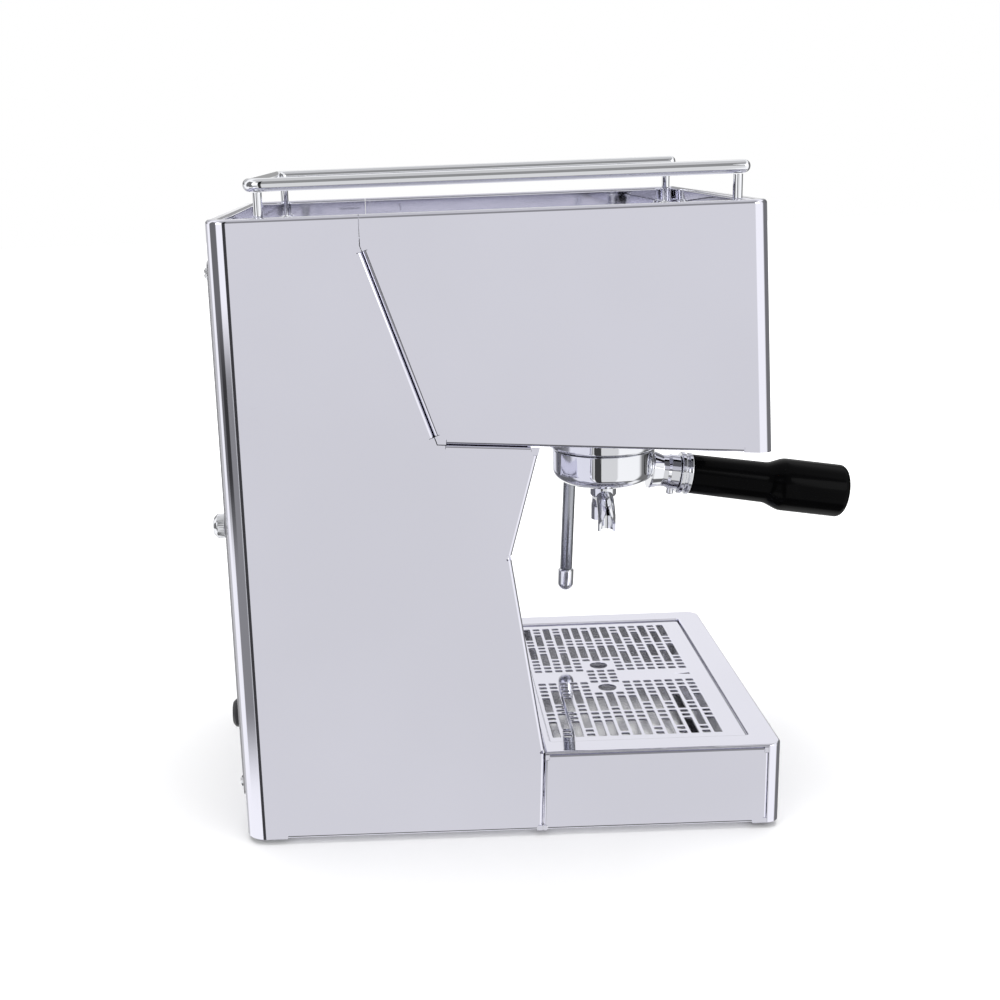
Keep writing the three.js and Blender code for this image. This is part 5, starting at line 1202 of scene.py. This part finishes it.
def make_group():
    """Bell turned about the group's axis; under its groove a ledge is cut back at two slots for the lugs."""
    at = upright(0, front_of(GROUP_DISTANCE))
    lip, groove, ledge = BELL_LIP, BELL_LIP + 23.4, BELL_LIP + LEDGE_RISE
    flange_low = underside(GROUP_DISTANCE - 46) + 2 * SHEET + 2 * PLAY
    outer = softened([(33.6, lip), (38.6, lip), (38.6, flange_low), (46, flange_low), (46, flange_low + 6),
                      (5, flange_low + 6)], (1.8, 0.8, 0.5, 0.8), 6)
    inner = softened([(5, groove), (36.4, groove), (36.4, ledge), (33.6, ledge)], (0.6, 0.3), 3)
    profile = np.vstack([outer, inner])
    steps = 180
    degrees = np.linspace(0, 360, steps, endpoint=False)
    in_slot = np.any([np.abs((degrees - middle + 180) % 360 - 180) <= 24 for middle in (-50, 130)], axis=0)
    on_ledge = (profile[:, :1] < 36.4) & (profile[:, :1] > 30)
    radii = np.where(in_slot & on_ledge, 36.4, profile[:, :1])
    piece("group_bell", turned(Skin(), profile, steps, at, closed=True, radii=radii), "chrome")

    rim = HOLDER_TOP + HOLDER_RIM
    gasket = softened([(28.9, rim + 1.8), (36, rim + 1.8), (36, groove - PLAY), (28.9, groove - PLAY)],
                      (0.8, 0.4), 4)
    piece("group_gasket", turned(Skin(), gasket, 72, at, closed=True), "black_rubber")

    top = groove - PLAY
    low, high = top - 3.2, top - 2.0
    holes = [ring_of(0, 0, 2.6, 16)]
    for radius, count in ((11, 4), (20, 8)):
        holes += [ring_of(radius * math.cos(a), radius * math.sin(a), 1.3, 10) for a in full_turn(count)]
    dished = framed(at)
    screen = Skin()
    for height in (low, high):
        screen.flat(ring_of(0, 0, 26.6, 64), holes, lambda flat, height=height: dished(flat, height))
    for hole in holes:
        screen.grid(np.stack([dished(hole, low), dished(hole, high)]), round_columns=True)
    wall = [(26.6, low), (27.3, low + 0.1), (27.8, low + 0.6), (27.8, top - 0.1), (27.7, top), (26.7, top),
            (26.6, top - 0.1), (26.6, high)]
    turned(screen, wall, 64, at)
    piece("shower_screen", screen, "polished_steel")


def make_filter_holder():
    """Holder with its lugs and neck, filter basket, double spout, and the collar and grip of the handle. The
    bowl follows the sine and cosine of a quarter turn, raised to powers near one. Each spout is a tube whose
    wall opens downstream into a gutter, by a smooth step along its path."""
    at = upright(0, front_of(GROUP_DISTANCE))
    foot, top, rim = HOLDER_FOOT, HOLDER_TOP, HOLDER_TOP + HOLDER_RIM
    knee = top - 15.2
    floor = foot + 12.4
    low = np.radians(np.linspace(0, 90, 14))
    bowl = np.column_stack([9.4 + 26.8 * np.sin(low) ** 0.92,
                            foot + (knee - foot) * (1 - np.cos(low)) ** 1.15])
    wall = softened([(36.2, knee + 2), (36.2, top), (33.1, top), (33.1, rim), (30.4, rim), (30.4, floor)],
                    (0.9, 0.5, 0.4, 0.4), 5)
    profile = np.vstack([[(5, foot), (8.9, foot)], bowl[1:], [(36.2, knee + 1)], wall[1:],
                         [(28, floor - 0.5), (5.2, floor - 3), (5, floor - 3.3)]])
    skin = turned(Skin(), profile, 96, at, closed=True)
    ledge = BELL_LIP + LEDGE_RISE
    for middle in (0, 180):
        lug = np.vstack([arc(0, 0, 36, middle - 20, middle + 20, 12),
                         arc(0, 0, 31.6, middle + 20, middle - 20, 12)])
        slab(skin, lug, [], framed(at), ledge + 0.5, ledge + 5.5, 0.5)
    reach = HANDLE_DISTANCE - GROUP_DISTANCE - 31.9
    neck = softened([(0, 8.4), (12.4, 8.4), (12.4, 15), (11.4, 17), (11.4, reach - 9), (13.6, reach - 2),
                     (13.6, reach - 0.6), (0, reach - 0.6)], (0.6, 0.8, 0.8, 3, 1.5, 0.01), 5)
    turned(skin, neck, 48, HANDLE_FRAME)
    pin = softened([(0, 10.8), (2.6, 10.8), (2.6, 16.4), (0, 16.4)], (0.05, 1.6), 5)
    turned(skin, pin, 20, HANDLE_FRAME @ upright(0, 0, 11.6) @ turn_x(-90))
    piece("filter_holder", skin, "chrome")

    lip = rim + PLAY
    basket = softened([(0, lip - 24), (26.5, lip - 24), (29.8, lip - 18), (29.8, lip), (32.6, lip),
                       (32.6, lip + 0.9), (28.9, lip + 0.9), (28.9, lip - 17.6), (26.0, lip - 23.1),
                       (0, lip - 23.1)],
                      (2, 2, 0.5, 0.2, 0.3, 0.5, 2, 2), 4)
    piece("filter_basket", turned(Skin(), basket, 72, at), "polished_steel")

    hub_top, crown = foot - PLAY, foot - 13.6
    hub = softened([(0, hub_top - 9), (8.6, hub_top - 9), (9.4, hub_top - 7.6), (9.4, hub_top - 1),
                    (8.8, hub_top), (0, hub_top)], (1.0, 0.4, 0.4, 0.3), 4)
    spout = turned(Skin(), hub, 48, at)
    share = np.linspace(0, 1, 30)
    opened = np.clip((share - 0.35) / 0.5, 0, 1)
    open_degrees = 2 + 62 * opened ** 2 * (3 - 2 * opened)
    angle = np.radians(open_degrees[:, None] + (360 - 2 * open_degrees[:, None]) * np.linspace(0, 1, 22))
    outer, inner = (np.stack([size * np.sin(angle), size * np.cos(angle)], axis=-1) for size in (6.3, 4.5))
    section = np.concatenate([outer, inner[:, ::-1]], axis=1)
    for way in (-1, 1):
        path = smooth_path([(way * 3, 0, crown + 5), (way * 10, 0, crown + 2.2), (way * 16, 0, crown - 5.5),
                            (way * 16.4, 0, crown - 11), (way * 16.4, 0, foot - 31.0)], len(share))
        swept(spout, section, placed(path, at), up=(way, 0, 0.35))
    piece("double_spout", spout, "chrome")

    collar = softened([(0, 0), (15, 0), (15, 2.6), (13.9, 3.4), (13.9, 4.6), (15, 5.4), (15, 8.1), (0, 8.1)],
                      (0.7, 0.3, 0.3, 0.3, 0.3, 0.7), 4)
    piece("handle_collar", turned(Skin(), collar, 72, HANDLE_FRAME), "chrome")
    along = np.linspace(0, 1, 14)
    flare = 14.6 + 4.3 * along**2 * (3 - 2 * along)
    end = PLAY + 112.0
    grip = np.vstack([
        [(0, -PLAY), (13.4, -PLAY), (13.9, -PLAY - 0.2), (14.1, -PLAY - 0.8), (14.1, -1.5), (14.6, -52)],
        np.column_stack([flare, -53.5 - 15.0 * along]),
        [(18.9, -72), (18.9, 5 - end)],
        arc(13.9, 5 - end, 5, 0, -90, 10)[1:],
        [(9, -end), (6, -end), (5.6, 0.5 - end), (0, 0.5 - end)],
    ])
    piece("handle_grip", turned(Skin(), grip, 96, HANDLE_FRAME), "black_plastic")


def make_wand():
    """Nut with a socket inside, the ball that tilts in it, the tube seated on the ball, and the tip."""
    nut_frame = upright(WAND_X, front_of(WAND_DISTANCE), WAND_HEIGHT)
    socket_radius, bore = 8.3, 2.2
    socket = arc(0, 0, socket_radius, 55, 17, 7)
    nut = np.vstack([socket[-1:], [(10.6, 2.4), (11.4, 2.5), (12, 3.2), (12, 8.7), (11.2, 9.5), (6.6, 9.5),
                                   (6, 9.9), (6, 25.5), (bore, 25.5), (bore, 9.8)], socket])
    piece("wand_nut", turned(Skin(), nut, 72, nut_frame, closed=True), "chrome")
    wand_frame = nut_frame @ turn_x(2.4)
    piece("wand_ball", turned(Skin(), arc(0, 0, 8, -90, 90, 24), 48, wand_frame), "chrome")
    length = WAND_HEIGHT - FRAME_TOP - 53.4
    seat_from, seat_to = (math.degrees(math.asin(reach / socket_radius)) - 90 for reach in (bore, 4.5))
    seat = arc(0, 0, socket_radius, seat_from, seat_to, 4)
    tube = np.vstack([seat, [(4.8, seat[-1, 1] - 0.5), (4.8, -length + 0.4), (4.6, -length),
                             (bore, -length)]])
    piece("steam_wand", turned(Skin(), tube, 40, wand_frame, closed=True), "wand_steel_painted_dark")
    top = -length - PLAY
    collar = softened([(6.2, top - 10), (6.2, top - 1.2), (5.4, top), (1.8, top), (1.8, top + 6),
                       (0, top + 6)], (0.6, 0.6, 0.2, 0.4), 3)
    nozzle = np.vstack([arc(0, top - 11.8, 6.2, -90, 0, 12), collar[1:]])
    piece("steam_nozzle", turned(Skin(), nozzle, 48, wand_frame), "chrome")


def text_mesh(word, size, depth, matrix):
    """Raised figure as points and faces: a filled outline, extruded, then carried to its place."""
    curve = bpy.data.curves.new("figure", "FONT")
    curve.body, curve.size, curve.extrude = word, size, depth
    curve.align_x, curve.align_y = "CENTER", "CENTER"
    curve.resolution_u = 3
    shape = added("figure", curve)
    bpy.context.view_layer.update()
    mesh = shape.to_mesh()
    points = np.empty(len(mesh.vertices) * 3)
    mesh.vertices.foreach_get("co", points)
    faces = [list(face.vertices) for face in mesh.polygons]
    shape.to_mesh_clear()
    bpy.data.objects.remove(shape)
    bpy.data.curves.remove(curve)
    return placed(points.reshape(-1, 3), matrix), faces


def make_gauge():
    """Case and glass round a dial with 32 printed steps, a figure at each eighth step, and the needle."""
    at = on_face(0, GAUGE_UP)
    case = softened([(0, -22), (24.7, -22), (24.7, 0.3), (29, 0.3), (29, 5.2), (27.2, 7), (25, 7), (24, 6.2),
                     (24, 1.4), (0, 1.4)], (1, 0.3, 0.4, 1.6, 1.6, 0.5, 0.5, 0.3), 5)
    piece("gauge_case", turned(Skin(), case, 96, at), "chrome")
    dial_low = 1.7
    top = dial_low + 0.8
    dial = softened([(0, dial_low), (DIAL_RADIUS, dial_low), (DIAL_RADIUS, top), (0, top)], (0.1, 0.2), 3)
    piece("gauge_dial", turned(Skin(), dial, 72, at), "dial_white")
    marks = Skin()
    for step in range(33):
        turn = math.radians(225 - 270 * step / 32)
        major = step % 8 == 0
        start, half = (17.2, 0.42) if major else (19.2, 0.2)
        away, side = np.array([math.cos(turn), math.sin(turn)]), np.array([-math.sin(turn), math.cos(turn)])
        bar = np.array([away * reach + side * shift
                        for reach, shift in ((start, -half), (21.4, -half), (21.4, half), (start, half))])
        low, high = framed(at)(bar, top - 0.02), framed(at)(bar, top + 0.06)
        marks.grid(np.stack([low, high]), round_columns=True).face(low[::-1]).face(high)
        if major:
            marks.add(*text_mesh(str(step // 2), 5.2, 0.05, at @ upright(*(away * 13.6), top + 0.03)))
    piece("gauge_marks", marks, "print_black", node="gauge_dial")
    needle = Skin()
    low = top + PLAY
    cos, sin = math.cos(NEEDLE_REST), math.sin(NEEDLE_REST)
    rest = at @ basis((cos, sin, 0), (-sin, cos, 0), (0, 0, 1))
    blade = np.array([(-1.1, -6), (1.1, -6), (0.8, 0), (0.3, 17), (-0.3, 17), (-0.8, 0)])
    slab(needle, blade, [], framed(rest), low, low + 0.8, 0.15, 2)
    hub = softened([(0, low - 0.01), (2.8, low - 0.01), (2.8, low + 1.6), (0, low + 1.6)], (0.01, 0.5), 4)
    turned(needle, hub, 32, rest)
    piece("gauge_needle", needle, "needle_red")
    glass = softened([(0, 5), (DIAL_RADIUS, 5), (DIAL_RADIUS, 6.2), (0, 6.2)], (0.2, 0.4), 4)
    piece("gauge_glass", turned(Skin(), glass, 72, at), "clear_glass")


def make_switches():
    """Lamp and three rocker switches. A rocker is a section carried across, rounded at both ends; its top
    rises from the middle with a power of the distance."""
    width, height = SWITCH_SIZE[0] / 2, SWITCH_SIZE[1] / 2
    pocket = (width - 1.6, height - 1.6)
    half = pocket[1] - 1.3
    reach = pocket[0] - 0.5
    levels = [((width + grow, height + grow), out) for grow, out in (
        (-PLAY, -20.0), (-PLAY, PLAY), (2.0, PLAY), (2.2, PLAY + 0.2), (2.2, 0.9), (1.9, 1.3), (1.5, 1.4))]
    levels += [((pocket[0] + 0.3, pocket[1] + 0.3), 1.4), (pocket, 1.1), (pocket, -8.5)]

    def box_ring(size):
        return rounded_rectangle(-size[0], -size[1], *size, 1.0, 5)

    def crown(up):
        return 1.7 + 1.5 * np.abs(up / half) ** 1.7

    side = np.linspace(-1, 1, 17)[1:-1] * half
    corner = [(half - 0.15, 3.15), (half, 2.9), (half, -2.5)]
    line = np.vstack([np.column_stack([side, crown(side)]), corner, [(0, -8)],
                      [(-across, up) for across, up in corner[::-1]]])
    lips = [(0.35, 0.3), (0.1, 0.1), (0.0, 0.0)]
    sections = []
    for way, ends in ((-1, lips), (1, lips[::-1])):
        for short, inset in ends:
            drawn = line - inset * unit(line + (0, 1.5)) * 0.9
            sections.append(np.column_stack([np.full(len(line), way * (reach - short)), drawn]))
    bar = rounded_rectangle(-0.35, 5.0, 0.35, 8.4, 0.3, 3)
    zero = ring_of(0, -6.6, 1.9, 28), ring_of(0, -6.6, 1.25, 28)
    for across, word in zip(SWITCH_ACROSS, ("power", "brew", "steam")):
        at = on_face(across, SWITCH_UP)
        piece(f"{word}_switch_frame", vessel(box_ring, levels, framed(at)), "grey_plastic")

        rest = at @ upright(0, 0, -5) @ turn_x(7) @ upright(0, 0, 5)
        rows = [placed(section, rest) for section in sections]
        rocker = Skin().grid(np.stack(rows), round_columns=True).face(rows[0]).face(rows[-1][::-1])
        piece(f"{word}_switch_rocker", rocker, "black_plastic", sharp=40)

        def printed(points, out, rest=rest):
            return placed(np.column_stack([points, crown(points[:, 1]) + out]), rest)

        sign = Skin()
        for outline, holes in ((bar, []), (zero[0], [zero[1]])):
            for out in (-0.25, 0.04):
                sign.flat(outline, holes, lambda flat, out=out: printed(flat, out))
            for ring in (outline, *holes):
                sign.grid(np.stack([printed(ring, -0.25), printed(ring, 0.04)]), round_columns=True)
        piece(f"{word}_switch_signs", sign, "print_white", node=f"{word}_switch_rocker")

    lens = softened([(0, -16), (5.7, -16), (5.7, 0.3), (7.4, 0.3), (7.4, 1.0), (6.2, 2.2), (5.0, 2.2),
                     (3.6, 3.0), (0, 3.0)], (0.6, 0.1, 0.2, 0.5, 0.4, 0.5, 1.0), 4)
    piece("lamp_lens", turned(Skin(), lens, 56, on_face(SWITCH_ACROSS[0], LAMP_UP)), "lamp_orange")


def make_knob():
    """Fluted knob: six shallow hollows round its side, which fade out towards both rounded edges."""
    at = on_face(*KNOB_AT)
    profile = softened([(0, 4), (20.4, 4), (21, 8), (20.2, 34), (0, 34)], (1.5, 0.4, 3.4), 7)
    profile = np.vstack([profile[:-1], [(12.5, 34), (12.0, 33.4), (0, 33.4)]])
    steps = 144
    phase = np.abs(((np.arange(steps) / steps * 6 + 0.5) % 1) - 0.5) * 2
    hollow = np.clip(1 - (1 - phase) / 0.42, 0, 1) ** 2
    strength = np.clip((profile[:, :1] - 13) / 6, 0, 1)
    radii = profile[:, :1] * (1 - 0.155 * strength * hollow)
    skin = turned(Skin(), profile, steps, at, radii=radii)
    shaft = softened([(0, -31.5), (4, -31.5), (4, 4.2), (0, 4.2)], (0.5, 0.01), 3)
    turned(skin, shaft, 32, at)
    piece("steam_knob", skin, "black_plastic")


def make_feet():
    """Four rubber feet that widen upwards; the rear pair is a little taller."""
    for word, x in (("left", -FOOT_X), ("right", FOOT_X)):
        for place, distance, top in (
            ("front", 322.0, FOOT_HEIGHT - PLAY), ("rear", 34.0, FOOT_HEIGHT + SHEET),
        ):
            profile = softened([(0, 0), (9.6, 0), (11, top), (0, top)], (1.0, 0.3), 4)
            foot = turned(Skin(), profile, 40, upright(x, front_of(distance)))
            piece(f"foot_{place}_{word}", foot, "black_rubber")


for make in (make_column, make_head, make_base, make_splash_panel, make_top, make_rail, make_rear, make_tray,
             make_grille, make_underside, make_group, make_filter_holder, make_wand, make_gauge,
             make_switches, make_knob, make_feet):
    make()

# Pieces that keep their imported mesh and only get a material
CARRIED_OVER = {
    "galvanised_steel": ("column_floor", "tank_shelf"),
    "chrome": ("rear_screw_low_left", "rear_screw_low_right", "rear_screw_high_left", "rear_screw_high_right",
               "screen_screw"),
    "brass": ("steam_valve", "boiler"),
    "cast_metal": ("pump",),
    "black_rubber": ("suction_hose",),
}
for material_name, nodes in CARRIED_OVER.items():
    for node in nodes:
        materials = frame["nodes"][node].data.materials
        materials.clear()
        materials.append(finishes[material_name])


def make_camera():
    """Camera at the photograph's viewpoint, worked out from the corners of the housing."""
    focal, middle = 1350.55, (390.0, 500.0)
    roll, pitch, yaw = -0.039136, 0.258021, -0.008313
    spot = Vector((-0.941595, (REAR_WALL - 111.160) * MM, 0.448980))
    ahead = Vector((math.cos(yaw) * math.cos(pitch), -math.sin(yaw) * math.cos(pitch), -math.sin(pitch)))
    right = Vector((-math.sin(yaw), -math.cos(yaw), 0))
    above = right.cross(ahead)
    turned_right = math.cos(roll) * right + math.sin(roll) * above
    turned_up = math.cos(roll) * above - math.sin(roll) * right
    lens = bpy.data.cameras.new("camera")
    lens.sensor_width = 36
    lens.lens = focal * 36 / 1000
    lens.shift_x, lens.shift_y = (500 - middle[0]) / 1000, (middle[1] - 500) / 1000
    lens.clip_start, lens.clip_end = 0.01, 100
    camera = added("camera", lens)
    facing = Matrix((turned_right, turned_up, -ahead)).transposed().to_4x4()
    camera.matrix_world = Matrix.Translation(spot) @ facing
    bpy.context.scene.camera = camera


def make_floor():
    """White floor: it takes the object's shadow, and adds some light of its own to rays from the camera, so
    that it is as white as the surroundings far from the machine. Near the machine that light fades out, which
    darkens the floor round its foot: partly this evens out the lamps, which light the near floor more, and
    partly it is painted shade that deepens the shadow. Mirrors look through it to the surroundings, which
    have no horizon."""
    material = bpy.data.materials.new("floor")
    tree = fresh_tree(material)
    path = tree.add("ShaderNodeLightPath")
    place = tree.add("ShaderNodeTexCoord").outputs["Object"]
    from_middle = tree.add("ShaderNodeVectorMath", {0: place}, operation="LENGTH").outputs["Value"]
    # Glow fades out near the machine: painted shade round its foot, on top of its real shadow.
    glow_fading_near_machine = tree.blend(tree.ramp(from_middle, 0.35, 1.1), 0.03, 0.6)
    diffuse = tree.add("ShaderNodeBsdfDiffuse", {"Color": rgb(0.93, 0.93, 0.935)})
    seen_glow = tree.math("MULTIPLY", path.outputs["Is Camera Ray"], glow_fading_near_machine)
    glow = tree.add("ShaderNodeEmission", {"Color": rgb(1, 1, 1), "Strength": seen_glow})
    both = tree.add("ShaderNodeAddShader", {0: diffuse.outputs[0], 1: glow.outputs[0]})
    tree.add("ShaderNodeOutputMaterial", {"Surface": both.outputs[0]})
    half = 6.0
    mesh = bpy.data.meshes.new("floor")
    corners = [(-half, -half, 0), (half, -half, 0), (half, half, 0), (-half, half, 0)]
    mesh.from_pydata(corners, [], [(0, 1, 2, 3)])
    mesh.materials.append(material)
    floor = added("floor", mesh)
    floor.visible_glossy = False


def make_world():
    """Even white surroundings. Matt surfaces get a plain level, lower towards the horizon. Mirrors see nearly
    full white, a little less beside the machine and overhead, with dark bands that draw the lines in its
    rounded corners, and with the far side darker low down and just over the horizon. A band is full between
    two directions in degrees and fades over a few degrees beside them."""
    world = bpy.data.worlds.new("surroundings")
    bpy.context.scene.world = world
    tree = fresh_tree(world)
    path = tree.add("ShaderNodeLightPath")
    way = tree.add("ShaderNodeSeparateXYZ", {0: tree.add("ShaderNodeTexCoord").outputs["Generated"]}).outputs
    degrees = 180 / math.pi
    round_about = tree.math("MULTIPLY", tree.math("ARCTAN2", way["Y"], way["X"]), degrees)
    round_about = tree.math("FLOORED_MODULO", tree.math("ADD", round_about, 360.0), 360.0)
    height = tree.math("MULTIPLY", tree.math("ARCSINE", way["Z"]), degrees)

    def band(value, low, high, fade):
        rise = tree.ramp(value, low - fade, low)
        fall = tree.math("SUBTRACT", 1.0, tree.ramp(value, high, high + fade))
        return tree.math("MULTIPLY", rise, fall)

    def dimmed(level, mask, darkness):
        return tree.math("MULTIPLY", level, tree.math("SUBTRACT", 1.0, tree.math("MULTIPLY", mask, darkness)))

    beside = tree.math("MULTIPLY", band(round_about, 168, 201, 5), band(height, -60, 14, 8))
    level = tree.blend(beside, 1.12, 0.80)
    level = tree.math("MULTIPLY", level, tree.blend(tree.ramp(height, 50.0, 62.0), 1.0, 0.6))
    for darkness, sideways, upwards in (
        (0.95, (153, 166, 2), (-70, 55, 10)),
        (0.84, (80, 116, 6), (-13, 40, 5)),
        (0.74, (98, 147, 7), (-23, -10, 4)),
        (0.82, (270, 326, 14), (-40, 30, 10)),
        (0.45, (20, 50, 8), (-30, 30, 8)),
        (0.72, (135, 225, 15), (17, 56, 5)),
        (0.86, (100, 262, 20), (-82, -50, 6)),
    ):
        patch = tree.math("MULTIPLY", band(round_about, *sideways), band(height, *upwards))
        level = dimmed(level, patch, darkness)
    for darkness, upwards in ((0.66, (3.5, 12, 1.5)), (0.13, (14, 44, 3)), (0.62, (-80, -40, 4))):
        far_side = tree.math("MULTIPLY", tree.ramp(way["X"], 0.3, 0.7), band(height, *upwards))
        level = dimmed(level, far_side, darkness)
    seen_in_metal = tree.math("MAXIMUM", path.outputs["Is Glossy Ray"], path.outputs["Is Transmission Ray"])
    level = tree.blend(seen_in_metal, tree.blend(tree.ramp(height, 0.0, 60.0), 0.3, 1.0), level)
    level = tree.blend(path.outputs["Is Camera Ray"], level, 1.0)
    background = tree.add("ShaderNodeBackground", {"Color": rgb(1, 1, 1), "Strength": level})
    tree.add("ShaderNodeOutputWorld", {"Surface": background.outputs[0]})


def make_lamps():
    """Three large softboxes: overhead, which mirrors don't show, front left and rear left."""
    for name, spot, size, watts in (
        ("overhead", (0.15, 0.0, 1.7), 1.3, 19.0),
        ("front_left", (-1.5, -1.3, 1.1), 1.0, 7.0),
        ("rear_left", (-1.3, 1.5, 1.1), 1.0, 6.0),
    ):
        light = bpy.data.lights.new(name, "AREA")
        light.shape = "SQUARE"
        light.size = size
        light.energy = watts
        lamp = added(name, light)
        facing = (Vector((0, 0, 0.2)) - Vector(spot)).to_track_quat("-Z", "Y").to_matrix().to_4x4()
        lamp.matrix_world = Matrix.Translation(spot) @ facing
        lamp.visible_glossy = name != "overhead"


make_camera()
make_floor()
make_world()
make_lamps()

scene = bpy.context.scene
scene.view_settings.view_transform = "Standard"
